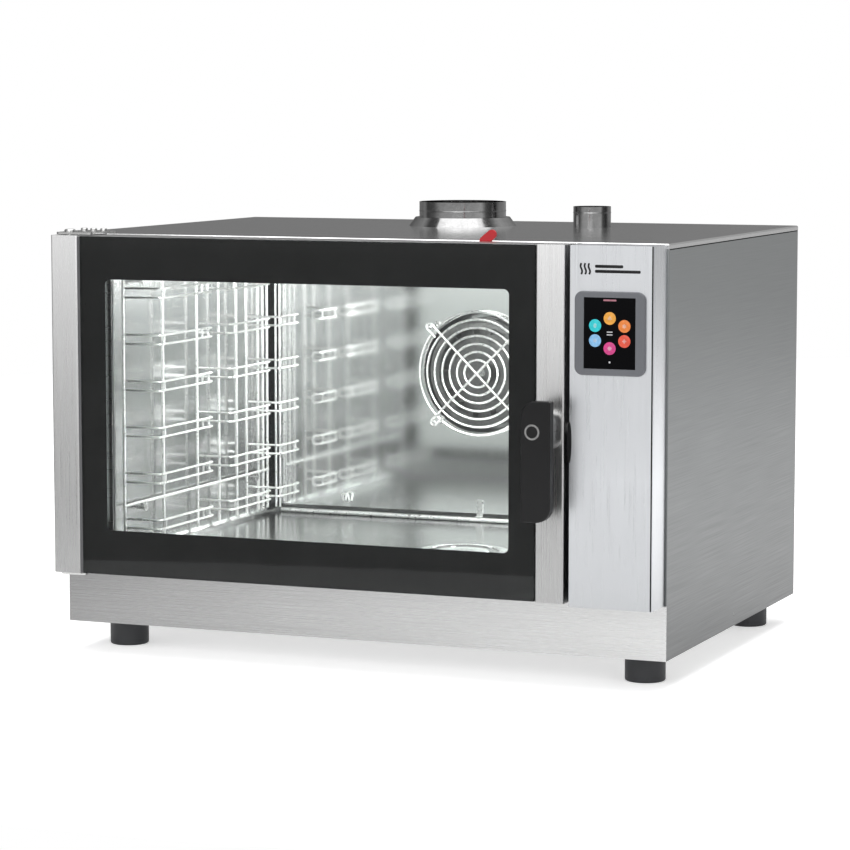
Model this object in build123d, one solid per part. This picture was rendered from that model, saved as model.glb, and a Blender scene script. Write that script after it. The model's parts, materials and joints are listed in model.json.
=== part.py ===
from build123d import *
import os
from math import cos, sin, radians

# A counter-top combi steamer oven. Everything is drawn in the body's frame, in millimetres:
# X = 0 is the middle of the body, Y = 0 its front plane, Z = 0 the lower edge of the plinth.
# write() then moves it so that the origin lies under the middle of the whole oven, on the worktop.

# ---- Outer shell ----
body_width = 900.0
body_depth = 632.0
body_height = 558.0
sheet = 1.2
cover_lip = 7.0
bend = 2.4
side_flange = 10.0
plinth_height = 75.0
plinth_flange = 30.0
tray_sheet = 1.5
tray_flange = 25.0
seam = 0.3
louvre_rows = 8
louvre_pitch = 14.0
louvre_height = 4.0
louvre_half_width = 38.0
louvre_start = 111.6
cable_half_width = 20.0
cable_foot = 260.0
cable_head = 300.0

# ---- Feet ----
foot_height = 42.0
foot_radius = 28.0
foot_side_inset = 55.0
foot_front_inset = 80.0
foot_rear_inset = 57.0
stud_radius = 5.0
stud_above = 20.0
sole_radius = 3.0
waist_foot = -7.0
waist_head = -4.0
waist_depth = 1.2

# ---- Cavity ----
cavity_left_wall = 75.0
control_bay = 142.0
cavity_floor = 98.0
cavity_height = 420.0
cavity_depth = 575.0
cavity_sheet = 1.5
cavity_corner = 15.0
fan_chamber = 45.0
insulation_side = 22.0
insulation_top = 16.0
insulation_floor = 20.0
insulation_rear = 20.0
seal_width = 12.0
seal_margin = 3.0
seal_edge = 2.5
seal_door_gap = 0.3

# ---- Door ----
front_reach = 55.0
door_gap = 8.0
door_side_inset = 6.0
door_foot_gap = 3.5
door_head_gap = 1.0
door_control_gap = 7.3
column_width = 42.0
trim_width = 40.7
column_wall = 1.5
edge_radius = 3.0
glass_seam = 4.0
glass_thickness = 5.0
border_thickness = 0.6
border_left = 37.0
border_right = 39.0
border_foot = 62.5
border_head = 60.0
window_radius = 8.0
inner_glass_thickness = 4.0
inner_glass_overlap = 20.0
inner_glass_seat = 8.0
channel_height = 24.0

# ---- Door hinge ----
hinge_inset = 20.0
hinge_setback = 34.0
pin_radius = 5.0
pin_length = 26.0
running_gap = 0.05
plate_thickness = 3.0
foot_plate_thickness = 2.4
foot_plate_right = 25.0
plate_length = 56.0
plate_reach_back = 32.0
bush_radius = 8.0
bush_length = 20.0
end_cap_thickness = 2.0
plate_front = 14.0
plate_corner = 6.0
pin_head_radius = 8.0
pin_head_height = 4.0
hinge_screw_radius = 5.0
hinge_screw_height = 3.5
clip_inset = 70.0
clip_half_width = 12.0
clip_lip = 6.0
clip_sheet = 1.2

# ---- Handle and latch ----
pivot_from_trim_edge = 26.7
pivot_height = 312.6
lever_width = 41.0
lever_left_of_pivot = 16.0
lever_below_pivot = 120.0
lever_above_pivot = 40.8
lever_front = 50.0
lever_thickness = 15.0
lever_big_corner = 20.0
lever_small_corner = 3.0
lever_front_edge = 2.0
lever_back_edge = 1.5
boss_width = 34.0
boss_height = 54.0
boss_clearance = 0.6
spindle_radius = 6.0
spindle_in_lever = 9.0
tongue_hub_radius = 11.0
ring_radius = 10.5
ring_wire = 1.3
tongue_reach = 32.5
tongue_thickness = 8.0
tongue_half_height = 7.0
tongue_setback = 24.0
tongue_corner = 5.0
tongue_travel = 34.0
keeper_depth = 15.0
keeper_height = 66.0
keeper_below_pivot = 50.0
keeper_wall = 5.0
keeper_proud = 4.5

# ---- Control box and display ----
control_width = 116.3
control_inset = 2.7
control_seam = 0.5
bezel_width = 98.0
bezel_height = 111.0
bezel_from_left = 8.0
bezel_from_top = 61.0
bezel_proud = 4.5
bezel_radius = 11.0
bezel_border_side = 13.2
bezel_border_head = 8.0
bezel_border_foot = 9.0
screen_thickness = 2.5
screen_recess = 1.0

# ---- Fan ----
fan_offset = 12.0
fan_above_middle = 20.5
inlet_radius = 92.0
impeller_radius = 84.0
impeller_depth = 27.0
impeller_blades = 14
impeller_rim = 14.0
impeller_gap = 3.5
blade_length = 23.0
blade_half_thickness = 0.8
shaft_radius = 6.0
shaft_hole_radius = 14.0
shaft_seal_flange = 18.0
element_radius = 116.0
element_wire = 4.0
element_sleeve = 5.5
element_from_baffle = 12.0
element_pitch = 14.0
element_end_angle = 8.0
baffle_margin = 13.0
baffle_sheet = 1.5
baffle_fold = 18.0
baffle_bend = 4.0
inlet_lip = 2.5
inlet_lip_width = 4.0
stand_radius = 5.0
stand_inset = 40.0
stand_rise = 50.0
guard_rings = 7
guard_first = 21.0
guard_overhang = 2.8
guard_wire = 2.0
guard_standoff = 12.0
guard_screw_margin = 15.0
guard_hub_radius = 8.0
guard_eye_radius = 5.0
guard_eye_hole = 2.6
motor_radius = 48.0
motor_length = 72.0
motor_plate = 4.0
motor_plate_half = 62.0
motor_stand_offset = 52.0
motor_fins = 24
fin_half_gap = 1.5
fin_margin = 14.0
shaft_in_motor = 30.0
motor_cover_size = 150.0
motor_cover_reach = 58.0
cover_slots = 7
cover_slot_pitch = 15.0
cover_slot_half_width = 45.0
cover_slot_half_height = 2.0
rod_radius = 3.5

# ---- Tray racks ----
rack_gap = 9.0
rack_wire = 2.5
rail_wire = 2.0
rail_reach = 56.0
rail_levels = 6
first_rail_rise = 52.0
last_rail_drop = 38.0
rail_pair = 13.0
rack_foot_rise = 10.0
rack_head_drop = 22.0
rack_post_top = 6.0
rack_front = 14.0
rack_back = 496.0
rack_inner_posts = [137.0, 249.0, 323.0, 385.0, 420.0, 462.0, 480.0]
rack_wire_end = 3.0
peg_radius = 4.0
peg_head = 6.5
peg_foot_rise = 60.0
peg_offset = 188.0
rail_bend = 12.0
rail_link = 150.0

# ---- Tubes on the cover ----
flue_from_middle = -18.0
flue_from_rear = 185.0
flue_radius = 65.0
flue_wall = 2.0
flue_rise = 36.0
collar_foot_radius = 80.5
collar_top_radius = 71.0
collar_rise = 13.0
vent_from_middle = 176.0
vent_from_rear = 152.0
vent_radius = 28.0
vent_wall = 1.5
vent_rise = 30.0
vent_step = 0.5
flue_step = 1.0
flap_shaft_radius = 3.0
flap_depth = 12.0
flap_rest_angle = 50.0
flap_gap = 1.0
tab_near = 13.0
tab_far = 40.0
tab_width = 13.0
tab_thickness = 4.5

# ---- Services ----
drain_from_middle = 70.0
drain_from_front = 225.0
drain_radius = 20.0
drain_wall = 1.5
strainer_radius = 38.0
drain_line_drop = 48.0
service_reach = 40.0
drain_bend = 24.0
inlet_thread_radius = 13.2
inlet_bore_radius = 9.0
valve_from_side = 60.0
valve_z = 60.0
valve_half = 15.0
coil_depth = 47.0
coil_gap = 8.0
thread_start = 4.0
thread_neck = 1.2
gland_nut = 8.0
gland_nut_half = 5.0
gland_neck = 4.0
gland_reach = 24.0
gland_radius = 14.0
gland_bore_radius = 6.5
gland_from_side = 120.0
gland_z = 60.0
pipe_radius = 3.5
pipe_above_fan = 98.0
pipe_setback = 14.0
pipe_bend = 12.0
lamp_y = 250.0
lamp_drop = 78.0
lamp_radius = 22.0
lamp_lens_rim = 4.0
bulb_radius = 5.0
probe_y = 440.0
probe_drop = 48.0
probe_radius = 3.0
probe_reach = 40.0

# ---- Worked out from the sizes above ----
half_width = body_width / 2
side_top = body_height - cover_lip
cover_under = body_height - sheet
cavity_left = -half_width + cavity_left_wall
cavity_right = half_width - control_bay
cavity_top = cavity_floor + cavity_height
cavity_middle = (cavity_left + cavity_right) / 2
cavity_back = cavity_depth + cavity_sheet
back_inner = body_depth - sheet - 0.1 - sheet
baffle_face = cavity_depth - fan_chamber
fan_x = cavity_middle + fan_offset
fan_height = cavity_floor + cavity_height / 2 + fan_above_middle
guard_pitch = (inlet_radius + guard_overhang - guard_first) / (guard_rings - 1)
guard_arm_reach = inlet_radius + guard_screw_margin
lamp_z = cavity_top - lamp_drop
probe_z = cavity_top - probe_drop
insulation_back = cavity_back + insulation_rear
door_face = -front_reach
door_back = -door_gap
door_left = -half_width + door_side_inset
control_right = half_width - control_inset
control_left = control_right - control_width
door_right = control_left - door_control_gap
door_foot = plinth_height + door_foot_gap
door_head = body_height - door_head_gap
column_right = door_left + column_width
trim_left = door_right - trim_width
glass_left = column_right + glass_seam
glass_right = trim_left - 0.4
glass_foot = door_foot + 0.8
glass_head = door_head - 0.8
window_left = glass_left + border_left
window_right = glass_right - border_right
window_foot = glass_foot + border_foot
window_head = glass_head - border_head
hinge_x = door_left + hinge_inset
hinge_y = -hinge_setback
pivot_x = door_right - pivot_from_trim_edge
lever_face = door_face - lever_front
lever_back = lever_face + lever_thickness
flue_y = body_depth - flue_from_rear
vent_y = body_depth - vent_from_rear
flap_z = cover_under - flap_depth
rear_reach = body_depth + motor_cover_reach
middle_y = (lever_face + rear_reach) / 2
rack_plane = cavity_left + rack_gap
frame_half = half_width - side_flange - seam
valve_x = half_width - valve_from_side
gland_x = half_width - gland_from_side
pipe_x = fan_x
pipe_z = fan_height + pipe_above_fan
rack_foot = cavity_floor + rack_foot_rise
rack_head = cavity_top - rack_head_drop
rack_middle = (rack_front + rack_back) / 2
first_rail = cavity_floor + first_rail_rise
rail_pitch = (cavity_top - last_rail_drop - first_rail) / (rail_levels - 1)
rail_heights = [first_rail + level * rail_pitch for level in range(rail_levels)]

os.makedirs("parts", exist_ok=True)


# ---- Shapes used again and again ----
def block(x, y, z):
    """A box between the two values given for each axis."""
    size = [abs(pair[1] - pair[0]) for pair in (x, y, z)]
    centre = [(pair[0] + pair[1]) / 2 for pair in (x, y, z)]
    return Pos(*centre) * Box(*size)


def rounded(x, y, z, radius, along=Axis.Y):
    """A box with its four edges along one axis rounded."""
    whole = block(x, y, z)
    return fillet(whole.edges().filter_by(along), radius)


def rod_x(x, y, z, radius):
    return Pos((x[0] + x[1]) / 2, y, z) * Rot(0, 90, 0) * Cylinder(radius, abs(x[1] - x[0]))


def rod_y(x, y, z, radius):
    return Pos(x, (y[0] + y[1]) / 2, z) * Rot(90, 0, 0) * Cylinder(radius, abs(y[1] - y[0]))


def rod_z(x, y, z, radius):
    return Pos(x, y, (z[0] + z[1]) / 2) * Cylinder(radius, abs(z[1] - z[0]))


def ring_y(x, y, z, outer, inner):
    """A washer or tube with its axis along Y."""
    return rod_y(x, y, z, outer) - rod_y(x, (y[0] - 1, y[1] + 1), z, inner)


def ring_z(x, y, z, outer, inner):
    """A washer or tube with its axis along Z."""
    return rod_z(x, y, z, outer) - rod_z(x, y, (z[0] - 1, z[1] + 1), inner)


def write(name, *solids):
    """Moves a sub-part into the oven's own frame and writes it."""
    pieces = []
    for item in solids:
        pieces.extend(item if isinstance(item, (list, tuple)) else [item])
    loose = [solid for piece in pieces for solid in piece.solids()]
    placed = [Pos(0, -middle_y, foot_height) * solid for solid in loose]
    whole = placed[0] if len(placed) == 1 else Compound(children=placed)
    export_step(whole, "parts/" + name + ".step")


# ---- Outer shell ----
def top_cover():
    outer = block((-half_width, half_width), (0, body_depth), (side_top, body_height))
    outer = fillet(outer.edges().group_by(Axis.Z)[-1], bend)
    inner = block((-half_width + sheet, half_width - sheet), (sheet, body_depth - sheet),
                  (side_top - 1, cover_under))
    cover = outer - inner
    cover -= rod_z(flue_from_middle, flue_y, (side_top, body_height + 1), flue_radius + 0.5)
    cover -= rod_z(vent_from_middle, vent_y, (side_top, body_height + 1), vent_radius + 0.5)
    return cover


def side_panel(side):
    """Folded side sheet, with flanges turned in at the front and the rear."""
    edge, inside = side * half_width, side * (half_width - sheet)
    flange = side * (half_width - side_flange)
    panel = block((edge, inside), (0, body_depth), (0, side_top))
    front = block((edge, flange), (0, sheet), (plinth_height + seam, side_top))
    rear = block((edge, flange), (body_depth - sheet, body_depth), (0, side_top))
    panel = panel + front + rear
    notch = block((edge + side, inside - side), (-1, sheet + seam), (-1, plinth_height + seam))
    panel -= notch
    corner = [e for e in panel.edges().filter_by(Axis.Z)
              if abs(e.center().X - edge) < 0.01 and e.length > side_top / 2]
    return fillet(corner, sheet * 0.9)


def front_plinth():
    face = block((-half_width, half_width), (0, sheet), (0, plinth_height))
    shelf_x = half_width - sheet - tray_sheet - 1
    shelf = block((-shelf_x, shelf_x), (0, plinth_flange), (plinth_height - sheet, plinth_height))
    plinth = face + shelf
    top_front = [e for e in plinth.edges().filter_by(Axis.X)
                 if e.center().Y < 0.01 and e.center().Z > plinth_height - 0.01]
    return fillet(top_front, sheet * 0.9)


def base_tray():
    x = half_width - sheet - 0.1
    front, back = sheet + 0.1, back_inner - 0.1
    tray = block((-x, x), (front, back), (0, tray_flange))
    tray -= block((-x + tray_sheet, x - tray_sheet), (front + tray_sheet, back - tray_sheet),
                  (tray_sheet, tray_flange + 1))
    for x, y in foot_places():
        tray -= rod_z(x, y, (-1, tray_sheet + 1), stud_radius)
    return tray


def back_panel():
    x = half_width - sheet - 0.2
    y = (back_inner, back_inner + sheet)
    panel = block((-x, x), y, (0, cover_under - 0.1))
    cut = (y[0] - 1, y[1] + 1)
    panel -= rod_y(fan_x, cut, fan_height, motor_radius + 4)
    for row in range(louvre_rows):
        z = louvre_start + row * louvre_pitch
        panel -= block((control_middle - louvre_half_width, control_middle + louvre_half_width), cut,
                       (z, z + louvre_height))
    for x, z, radius in service_places():
        panel -= rod_y(x, cut, z, radius)
    return panel


def foot_places():
    return [(sx * (half_width - foot_side_inset), y) for sx in (-1, 1)
            for y in (foot_front_inset, body_depth - foot_rear_inset)]


def foot(x, y):
    """Cylindrical foot with a shallow waist, a rounded sole and a moulded-in stud."""
    leg = rod_z(x, y, (-foot_height, 0), foot_radius)
    leg = fillet(leg.edges().group_by(Axis.Z)[0], sole_radius)
    leg -= ring_z(x, y, (waist_foot, waist_head), foot_radius + 2, foot_radius - waist_depth)
    return leg + rod_z(x, y, (-1, stud_above), stud_radius)


# ---- Cavity ----
def front_frame():
    """Stainless sheet behind the door, with the cavity's mouth cut in it."""
    face = block((-frame_half, frame_half), (0, sheet), (plinth_height + seam, side_top - seam))
    mouth = rounded((cavity_left, cavity_right), (-1, 3), (cavity_floor, cavity_top), cavity_corner)
    face -= mouth
    hinge_notch = block((-frame_half - 1, hinge_x + foot_plate_right + 1), (-1, 3),
                        (0, plinth_height + foot_plate_thickness + seam))
    face -= hinge_notch
    face -= rod_y(vent_from_middle, (-1, 3), flap_z, flap_shaft_radius + running_gap)
    cable = block((control_middle - cable_half_width, control_middle + cable_half_width), (-1, 3),
                  (cable_foot, cable_head))
    return face - cable


def cavity_hull(grow, y, corner):
    return rounded((cavity_left - grow, cavity_right + grow), y,
                   (cavity_floor - grow, cavity_top + grow), corner)


def cavity_shell():
    outer = cavity_hull(cavity_sheet, (sheet, cavity_back), cavity_corner + cavity_sheet)
    inner = cavity_hull(0, (sheet - 1, cavity_depth), cavity_corner)
    shell = outer - inner
    roof = (cavity_top - 1, cavity_top + 3)
    shell -= rod_z(flue_from_middle, flue_y, roof, flue_radius - flue_wall)
    shell -= rod_z(vent_from_middle, vent_y, roof, vent_radius - vent_wall)
    shell -= rod_z(drain_from_middle, drain_from_front, (cavity_floor - 3, cavity_floor + 1),
                   drain_radius - 2 * drain_wall)
    shell -= rod_y(fan_x, (cavity_depth - 1, cavity_back + 1), fan_height, shaft_hole_radius)
    for x, z in element_ends():
        shell -= rod_y(x, (cavity_depth - 1, cavity_back + 1), z, element_sleeve)
    shell -= rod_y(pipe_x, (cavity_depth - 1, cavity_back + 1), pipe_z, pipe_radius)
    shell -= rod_x((cavity_right - 1, cavity_right + 3), lamp_y, lamp_z, lamp_radius)
    shell -= rod_x((cavity_right - 1, cavity_right + 3), probe_y, probe_z, probe_radius)
    return shell


def insulation():
    side = cavity_sheet + insulation_side
    z = (cavity_floor - cavity_sheet - insulation_floor, cavity_top + cavity_sheet + insulation_top)
    outer = block((cavity_left - side, cavity_right + side), (sheet + 0.1, insulation_back), z)
    outer -= cavity_hull(cavity_sheet, (0, cavity_back), cavity_corner + cavity_sheet)
    outer -= rod_z(flue_from_middle, flue_y, (cavity_top, cavity_top + 60), flue_radius + 0.5)
    outer -= rod_z(vent_from_middle, vent_y, (cavity_top, cavity_top + 60), vent_radius + 0.5)
    outer -= rod_z(drain_from_middle, drain_from_front, (0, cavity_floor), drain_radius + 0.5)
    rear = (cavity_back - 1, insulation_back + 1)
    outer -= rod_y(fan_x, rear, fan_height, shaft_hole_radius + 0.5)
    for x, z in element_ends() + motor_stand_places():
        outer -= rod_y(x, rear, z, element_sleeve + 0.5)
    outer -= rod_y(pipe_x, rear, pipe_z, pipe_radius + 1)
    outer -= rod_x((cavity_right, cavity_right + 60), lamp_y, lamp_z, lamp_radius + 0.5)
    outer -= rod_x((cavity_right, cavity_right + 60), probe_y, probe_z, probe_radius + 0.5)
    return outer


def door_seal():
    """Hollow silicone seal round the cavity's mouth."""
    def band(grow, y):
        return rounded((cavity_left - grow, cavity_right + grow), y,
                       (cavity_floor - grow, cavity_top + grow), cavity_corner)
    y = (door_back + seal_door_gap, 0)
    seal = band(seal_margin + seal_width, y) - band(seal_margin, (y[0] - 1, 1))
    front = seal.faces().group_by(Axis.Y)[0].edges()
    return fillet(front, seal_edge)


def pegs_left():
    """Headed pegs welded to a side wall, which carry a rack's lengthwise wires."""
    end = rack_plane + rack_wire + 1.5
    made = []
    for y in (rack_middle - peg_offset, rack_middle + peg_offset):
        for z in (rack_foot + peg_foot_rise, rack_head):
            centre = z - rack_wire - peg_radius - running_gap
            made.append(rod_x((cavity_left, end), y, centre, peg_radius)
                        + rod_x((end, end + 2.5), y, centre, peg_head))
    return made


def rail(z):
    """A pair of U-shaped tray wires, one above the other, joined by short links."""
    reach = rack_plane + rail_reach
    start = rack_plane + rack_wire + rail_wire
    path = FilletPolyline((start, rack_front, z), (reach, rack_front, z), (reach, rack_back, z),
                          (start, rack_back, z), radius=rail_bend)
    upper = sweep(Plane(path @ 0, z_dir=path % 0) * Circle(rail_wire), path)
    pair = upper + Pos(0, 0, -rail_pair) * upper
    for offset in (-rail_link, 0, rail_link):
        pair += rod_z(reach, rack_middle + offset, (z - rail_pair, z), rail_wire)
    return pair


def rack_left():
    """Posts and lengthwise wires welded into a frame, and the tray rails that stand on it."""
    frame = None
    for y in [rack_front] + rack_inner_posts + [rack_back]:
        post = rod_z(rack_plane, y, (rack_foot, rack_head + rack_post_top), rack_wire)
        frame = post if frame is None else frame + post
    for z in (rack_foot + peg_foot_rise, rack_head):
        frame += rod_y(rack_plane, (rack_front - rack_wire_end, rack_back + rack_wire_end), z, rack_wire)
    return [frame] + [rail(z) for z in rail_heights]


def mirrored(solids):
    """The same pieces for the other side of the cavity."""
    middle = Plane(origin=(cavity_middle, 0, 0), z_dir=(1, 0, 0))
    return [mirror(solid, about=middle) for solid in solids]


# ---- Fan, heat and steam ----
def element_ends():
    angle = radians(element_end_angle)
    return [(fan_x + s * element_radius * sin(angle), fan_height - element_radius * cos(angle))
            for s in (-1, 1)]


def motor_stand_places():
    return [(fan_x + sx * motor_stand_offset, fan_height + sz * motor_stand_offset)
            for sx in (-1, 1) for sz in (-1, 1)]


def air_baffle():
    """Polished sheet in front of the fan, with folded edges and a rolled collar round its inlet."""
    x = (cavity_left + baffle_margin, cavity_right - baffle_margin)
    z = (cavity_floor + baffle_margin, cavity_top - baffle_margin)
    plate = block(x, (baffle_face, baffle_face + baffle_fold), z)
    plate = fillet(plate.edges().filter_by(Axis.Z).group_by(Axis.Y)[0], baffle_bend)
    plate -= block((x[0] + baffle_sheet, x[1] - baffle_sheet),
                   (baffle_face + baffle_sheet, baffle_face + baffle_fold + 1), (z[0] - 1, z[1] + 1))
    lip = (baffle_face - inlet_lip, baffle_face + baffle_sheet)
    plate += rod_y(fan_x, lip, fan_height, inlet_radius + inlet_lip_width)
    plate -= rod_y(fan_x, (lip[0] - 1, lip[1] + 1), fan_height, inlet_radius)
    return plate


def baffle_stands():
    """Spacers that carry the baffle on the cavity's rear wall."""
    stands = []
    inset = baffle_margin + stand_inset
    for x in (cavity_left + inset, cavity_right - inset):
        for z in (cavity_floor + stand_rise, cavity_top - stand_rise):
            stands.append(rod_y(x, (baffle_face + baffle_sheet, cavity_depth), z, stand_radius))
    return stands


def guard_arms():
    """The four places where the guard's arms are screwed down, at 45 degrees."""
    reach = guard_arm_reach * cos(radians(45))
    return [(fan_x + sx * reach, fan_height + sz * reach) for sx in (-1, 1) for sz in (-1, 1)]


def fan_guard():
    """Concentric wires under four arms, with a hub and four screwed-down eyes."""
    y = baffle_face - guard_standoff
    centre = Pos(fan_x, y, fan_height)
    rings = [centre * Rot(90, 0, 0) * Torus(guard_first + ring * guard_pitch, guard_wire)
             for ring in range(guard_rings)]
    hub = rod_y(fan_x, (y - 3 * guard_wire, y), fan_height, guard_hub_radius)
    length = guard_arm_reach - guard_eye_radius - guard_hub_radius
    arms = [centre * Rot(0, 45 + quarter * 90, 0) * Pos(0, -2 * guard_wire, guard_hub_radius + length / 2)
            * Cylinder(guard_wire, length) for quarter in range(4)]
    eyes = [ring_y(x, (y - 3 * guard_wire, baffle_face), z, guard_eye_radius, guard_eye_hole)
            for x, z in guard_arms()]
    return rings + arms + eyes + [hub]


def fan_impeller():
    y_back = baffle_face + baffle_sheet + impeller_gap + impeller_depth
    y_front = y_back - impeller_depth
    disc = rod_y(fan_x, (y_back - 2, y_back), fan_height, impeller_radius)
    rim = ring_y(fan_x, (y_front, y_front + 1.5), fan_height, impeller_radius,
                 impeller_radius - impeller_rim)
    wheel = disc + rim
    for blade in range(impeller_blades):
        turn = Rot(0, blade * 360 / impeller_blades, 0)
        plate = block((impeller_radius - 1 - blade_length, impeller_radius - 1), (y_front + 0.5, y_back - 1),
                      (-blade_half_thickness, blade_half_thickness))
        wheel += Pos(fan_x, 0, fan_height) * turn * plate
    wheel += rod_y(fan_x, (y_front, y_back), fan_height, impeller_rim)
    wheel -= rod_y(fan_x, (y_front - 1, y_back + 1), fan_height, shaft_radius)
    return wheel


def motor_shaft():
    end = insulation_back + motor_plate + shaft_in_motor
    return rod_y(fan_x, (baffle_face + 3, end), fan_height, shaft_radius)


def shaft_seal():
    body = rod_y(fan_x, (cavity_depth, insulation_back), fan_height, shaft_hole_radius)
    flange = rod_y(fan_x, (cavity_depth - 4, cavity_depth), fan_height, shaft_seal_flange)
    return body + flange - rod_y(fan_x, (0, body_depth), fan_height, shaft_radius + running_gap)


def motor_mount():
    half = motor_plate_half
    y = (insulation_back, insulation_back + motor_plate)
    plate = rounded((fan_x - half, fan_x + half), y, (fan_height - half, fan_height + half), 10)
    plate -= rod_y(fan_x, (y[0] - 1, y[1] + 1), fan_height, shaft_radius + 1)
    return [plate] + [rod_y(x, (cavity_back, y[0]), z, stand_radius) for x, z in motor_stand_places()]


def fan_motor():
    y0 = insulation_back + motor_plate
    case = rod_y(fan_x, (y0, y0 + motor_length), fan_height, motor_radius)
    case = fillet(case.edges().group_by(Axis.Y)[-1], 6)
    for turn in range(motor_fins):
        groove = block((motor_radius - 2.5, motor_radius + 2),
                       (y0 + fin_margin, y0 + motor_length - fin_margin), (-fin_half_gap, fin_half_gap))
        case -= Pos(fan_x, 0, fan_height) * Rot(0, turn * 360 / motor_fins, 0) * groove
    return case - rod_y(fan_x, (y0 - 1, y0 + shaft_in_motor + running_gap), fan_height,
                        shaft_radius + running_gap)


def motor_cover():
    half = motor_cover_size / 2
    x, z = (fan_x - half, fan_x + half), (fan_height - half, fan_height + half)
    y = (back_inner + sheet, rear_reach)
    box = block(x, y, z)
    box = fillet(box.edges().group_by(Axis.Y)[-1], 3)
    box -= block((x[0] + sheet, x[1] - sheet), (y[0] - 1, y[1] - sheet), (z[0] + sheet, z[1] - sheet))
    for row in range(cover_slots):
        slot_z = fan_height + (row - (cover_slots - 1) / 2) * cover_slot_pitch
        box -= block((fan_x - cover_slot_half_width, fan_x + cover_slot_half_width), (y[1] - 3, y[1] + 1),
                     (slot_z - cover_slot_half_height, slot_z + cover_slot_half_height))
    return box


def heating_element():
    rings = []
    for turn in range(2):
        y = baffle_face + element_from_baffle + turn * element_pitch
        ring = Pos(fan_x, y, fan_height) * Rot(90, 0, 0) * Torus(element_radius, element_wire)
        x, z = element_ends()[turn]
        leg = rod_y(x, (y - element_sleeve, insulation_back + 12), z, element_sleeve)
        rings.append(ring + leg)
    return rings


def steam_pipe():
    """Thin water pipe from the valve along the back to the rim of the fan."""
    y = back_inner - pipe_radius - pipe_setback
    path = FilletPolyline((valve_x, y, valve_z + valve_half), (valve_x, y, pipe_z), (pipe_x, y, pipe_z),
                          (pipe_x, baffle_face + 20, pipe_z), radius=pipe_bend)
    return sweep(Plane(path @ 0, z_dir=path % 0) * Circle(pipe_radius), path)


def baffle_rod():
    y = baffle_face - rod_radius - 2
    x = (cavity_left + 20, cavity_right - 20)
    rod = rod_x(x, y, cavity_floor + rod_radius + 0.5, rod_radius)
    wide = (fan_x - 5, fan_x + 5)
    foot_z = cavity_floor + 2 * rod_radius + 0.5
    strap = block(wide, (baffle_face - baffle_sheet, baffle_face), (foot_z, cavity_floor + 34))
    hook = block(wide, (y - rod_radius - baffle_sheet, baffle_face), (foot_z, foot_z + baffle_sheet))
    return [rod, strap + hook]


# ---- Door ----
def door_post(x):
    """One folded upright of the door, closed at both ends."""
    outer = rounded(x, (door_face, door_back), (door_foot, door_head), edge_radius, Axis.Z)
    inner = rounded((x[0] + column_wall, x[1] - column_wall),
                    (door_face + column_wall, door_back - column_wall),
                    (door_foot + end_cap_thickness, door_head - end_cap_thickness),
                    edge_radius - column_wall, Axis.Z)
    return outer - inner


def door_column():
    return door_post((door_left, column_right)) - rod_z(hinge_x, hinge_y, (0, body_height + 5), bush_radius)


def door_trim():
    trim = door_post((trim_left, door_right))
    trim -= rod_y(pivot_x, (door_face - 1, door_face + 3), pivot_height, spindle_radius + 0.2)
    slot = block((door_right - 3, door_right + 1), (tongue_y[0] - 1, tongue_y[1] + 1),
                 (pivot_height - tongue_travel, pivot_height + tongue_half_height + 1.5))
    return trim - slot


def door_frame():
    """Head and foot channels and the liner between them, the door's inner face."""
    x = (column_right + 0.2, trim_left - 0.2)
    y = (door_face + glass_thickness + border_thickness + 0.1, door_back)
    liner = block(x, (y[1] - sheet, y[1]), (door_foot, door_head))
    grow = inner_glass_overlap - inner_glass_seat
    liner -= rounded((window_left - grow, window_right + grow), (y[0] - 1, y[1] + 1),
                     (window_foot - grow, window_head + grow), window_radius)
    for z in ((door_foot, door_foot + channel_height), (door_head - channel_height, door_head)):
        channel = block(x, y, z)
        channel -= block((x[0] - 1, x[1] + 1), (y[0] + sheet, y[1] - sheet), (z[0] + sheet, z[1] - sheet))
        liner += channel
    return liner


def outer_glass():
    y = (door_face, door_face + glass_thickness)
    pane = rounded((glass_left, glass_right), y, (glass_foot, glass_head), 1.5)
    return chamfer(pane.faces().group_by(Axis.Y)[0].edges(), 0.6)


def glass_border():
    """Black enamel on the back of the outer glass, open at the window."""
    y = (door_face + glass_thickness, door_face + glass_thickness + border_thickness)
    band = rounded((glass_left, glass_right), y, (glass_foot, glass_head), 1.5)
    window = rounded((window_left, window_right), (y[0] - 1, y[1] + 1), (window_foot, window_head),
                     window_radius)
    return band - window


def inner_glass():
    y = (door_back - sheet - inner_glass_thickness, door_back - sheet)
    grow = inner_glass_overlap
    return rounded((window_left - grow, window_right + grow), y,
                   (window_foot - grow, window_head + grow), window_radius / 2)


def glass_clips():
    """Spring clips that hold the inner glass against the liner."""
    clips = []
    y_glass = door_back - sheet - inner_glass_thickness
    for x in (window_left + clip_inset, window_right - clip_inset):
        wide = (x - clip_half_width, x + clip_half_width)
        for z, s in ((window_foot - inner_glass_overlap, -1), (window_head + inner_glass_overlap, 1)):
            lip = block(wide, (y_glass - clip_sheet, y_glass), (z - clip_lip, z + clip_lip))
            web = block(wide, (y_glass - clip_sheet, door_back - sheet), (z + s * seam, z + s * clip_lip))
            clips.append(lip + web)
    return clips


# ---- Door hinge ----
def top_hinge_plate():
    x0 = door_left + 4
    z = (body_height, body_height + plate_thickness)
    y = (hinge_y - plate_front, plate_reach_back)
    plate = rounded((x0, x0 + plate_length), y, z, plate_corner, Axis.Z)
    plate -= rod_z(hinge_x, hinge_y, (z[0] - 1, z[1] + 1), pin_radius)
    return plate


def top_hinge_pin():
    z0 = door_head - pin_length
    pin = rod_z(hinge_x, hinge_y, (z0, body_height + plate_thickness), pin_radius)
    z1 = body_height + plate_thickness
    head = rod_z(hinge_x, hinge_y, (z1, z1 + pin_head_height), pin_head_radius)
    head = fillet(head.edges().group_by(Axis.Z)[-1], 2.5)
    return pin + head


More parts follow.
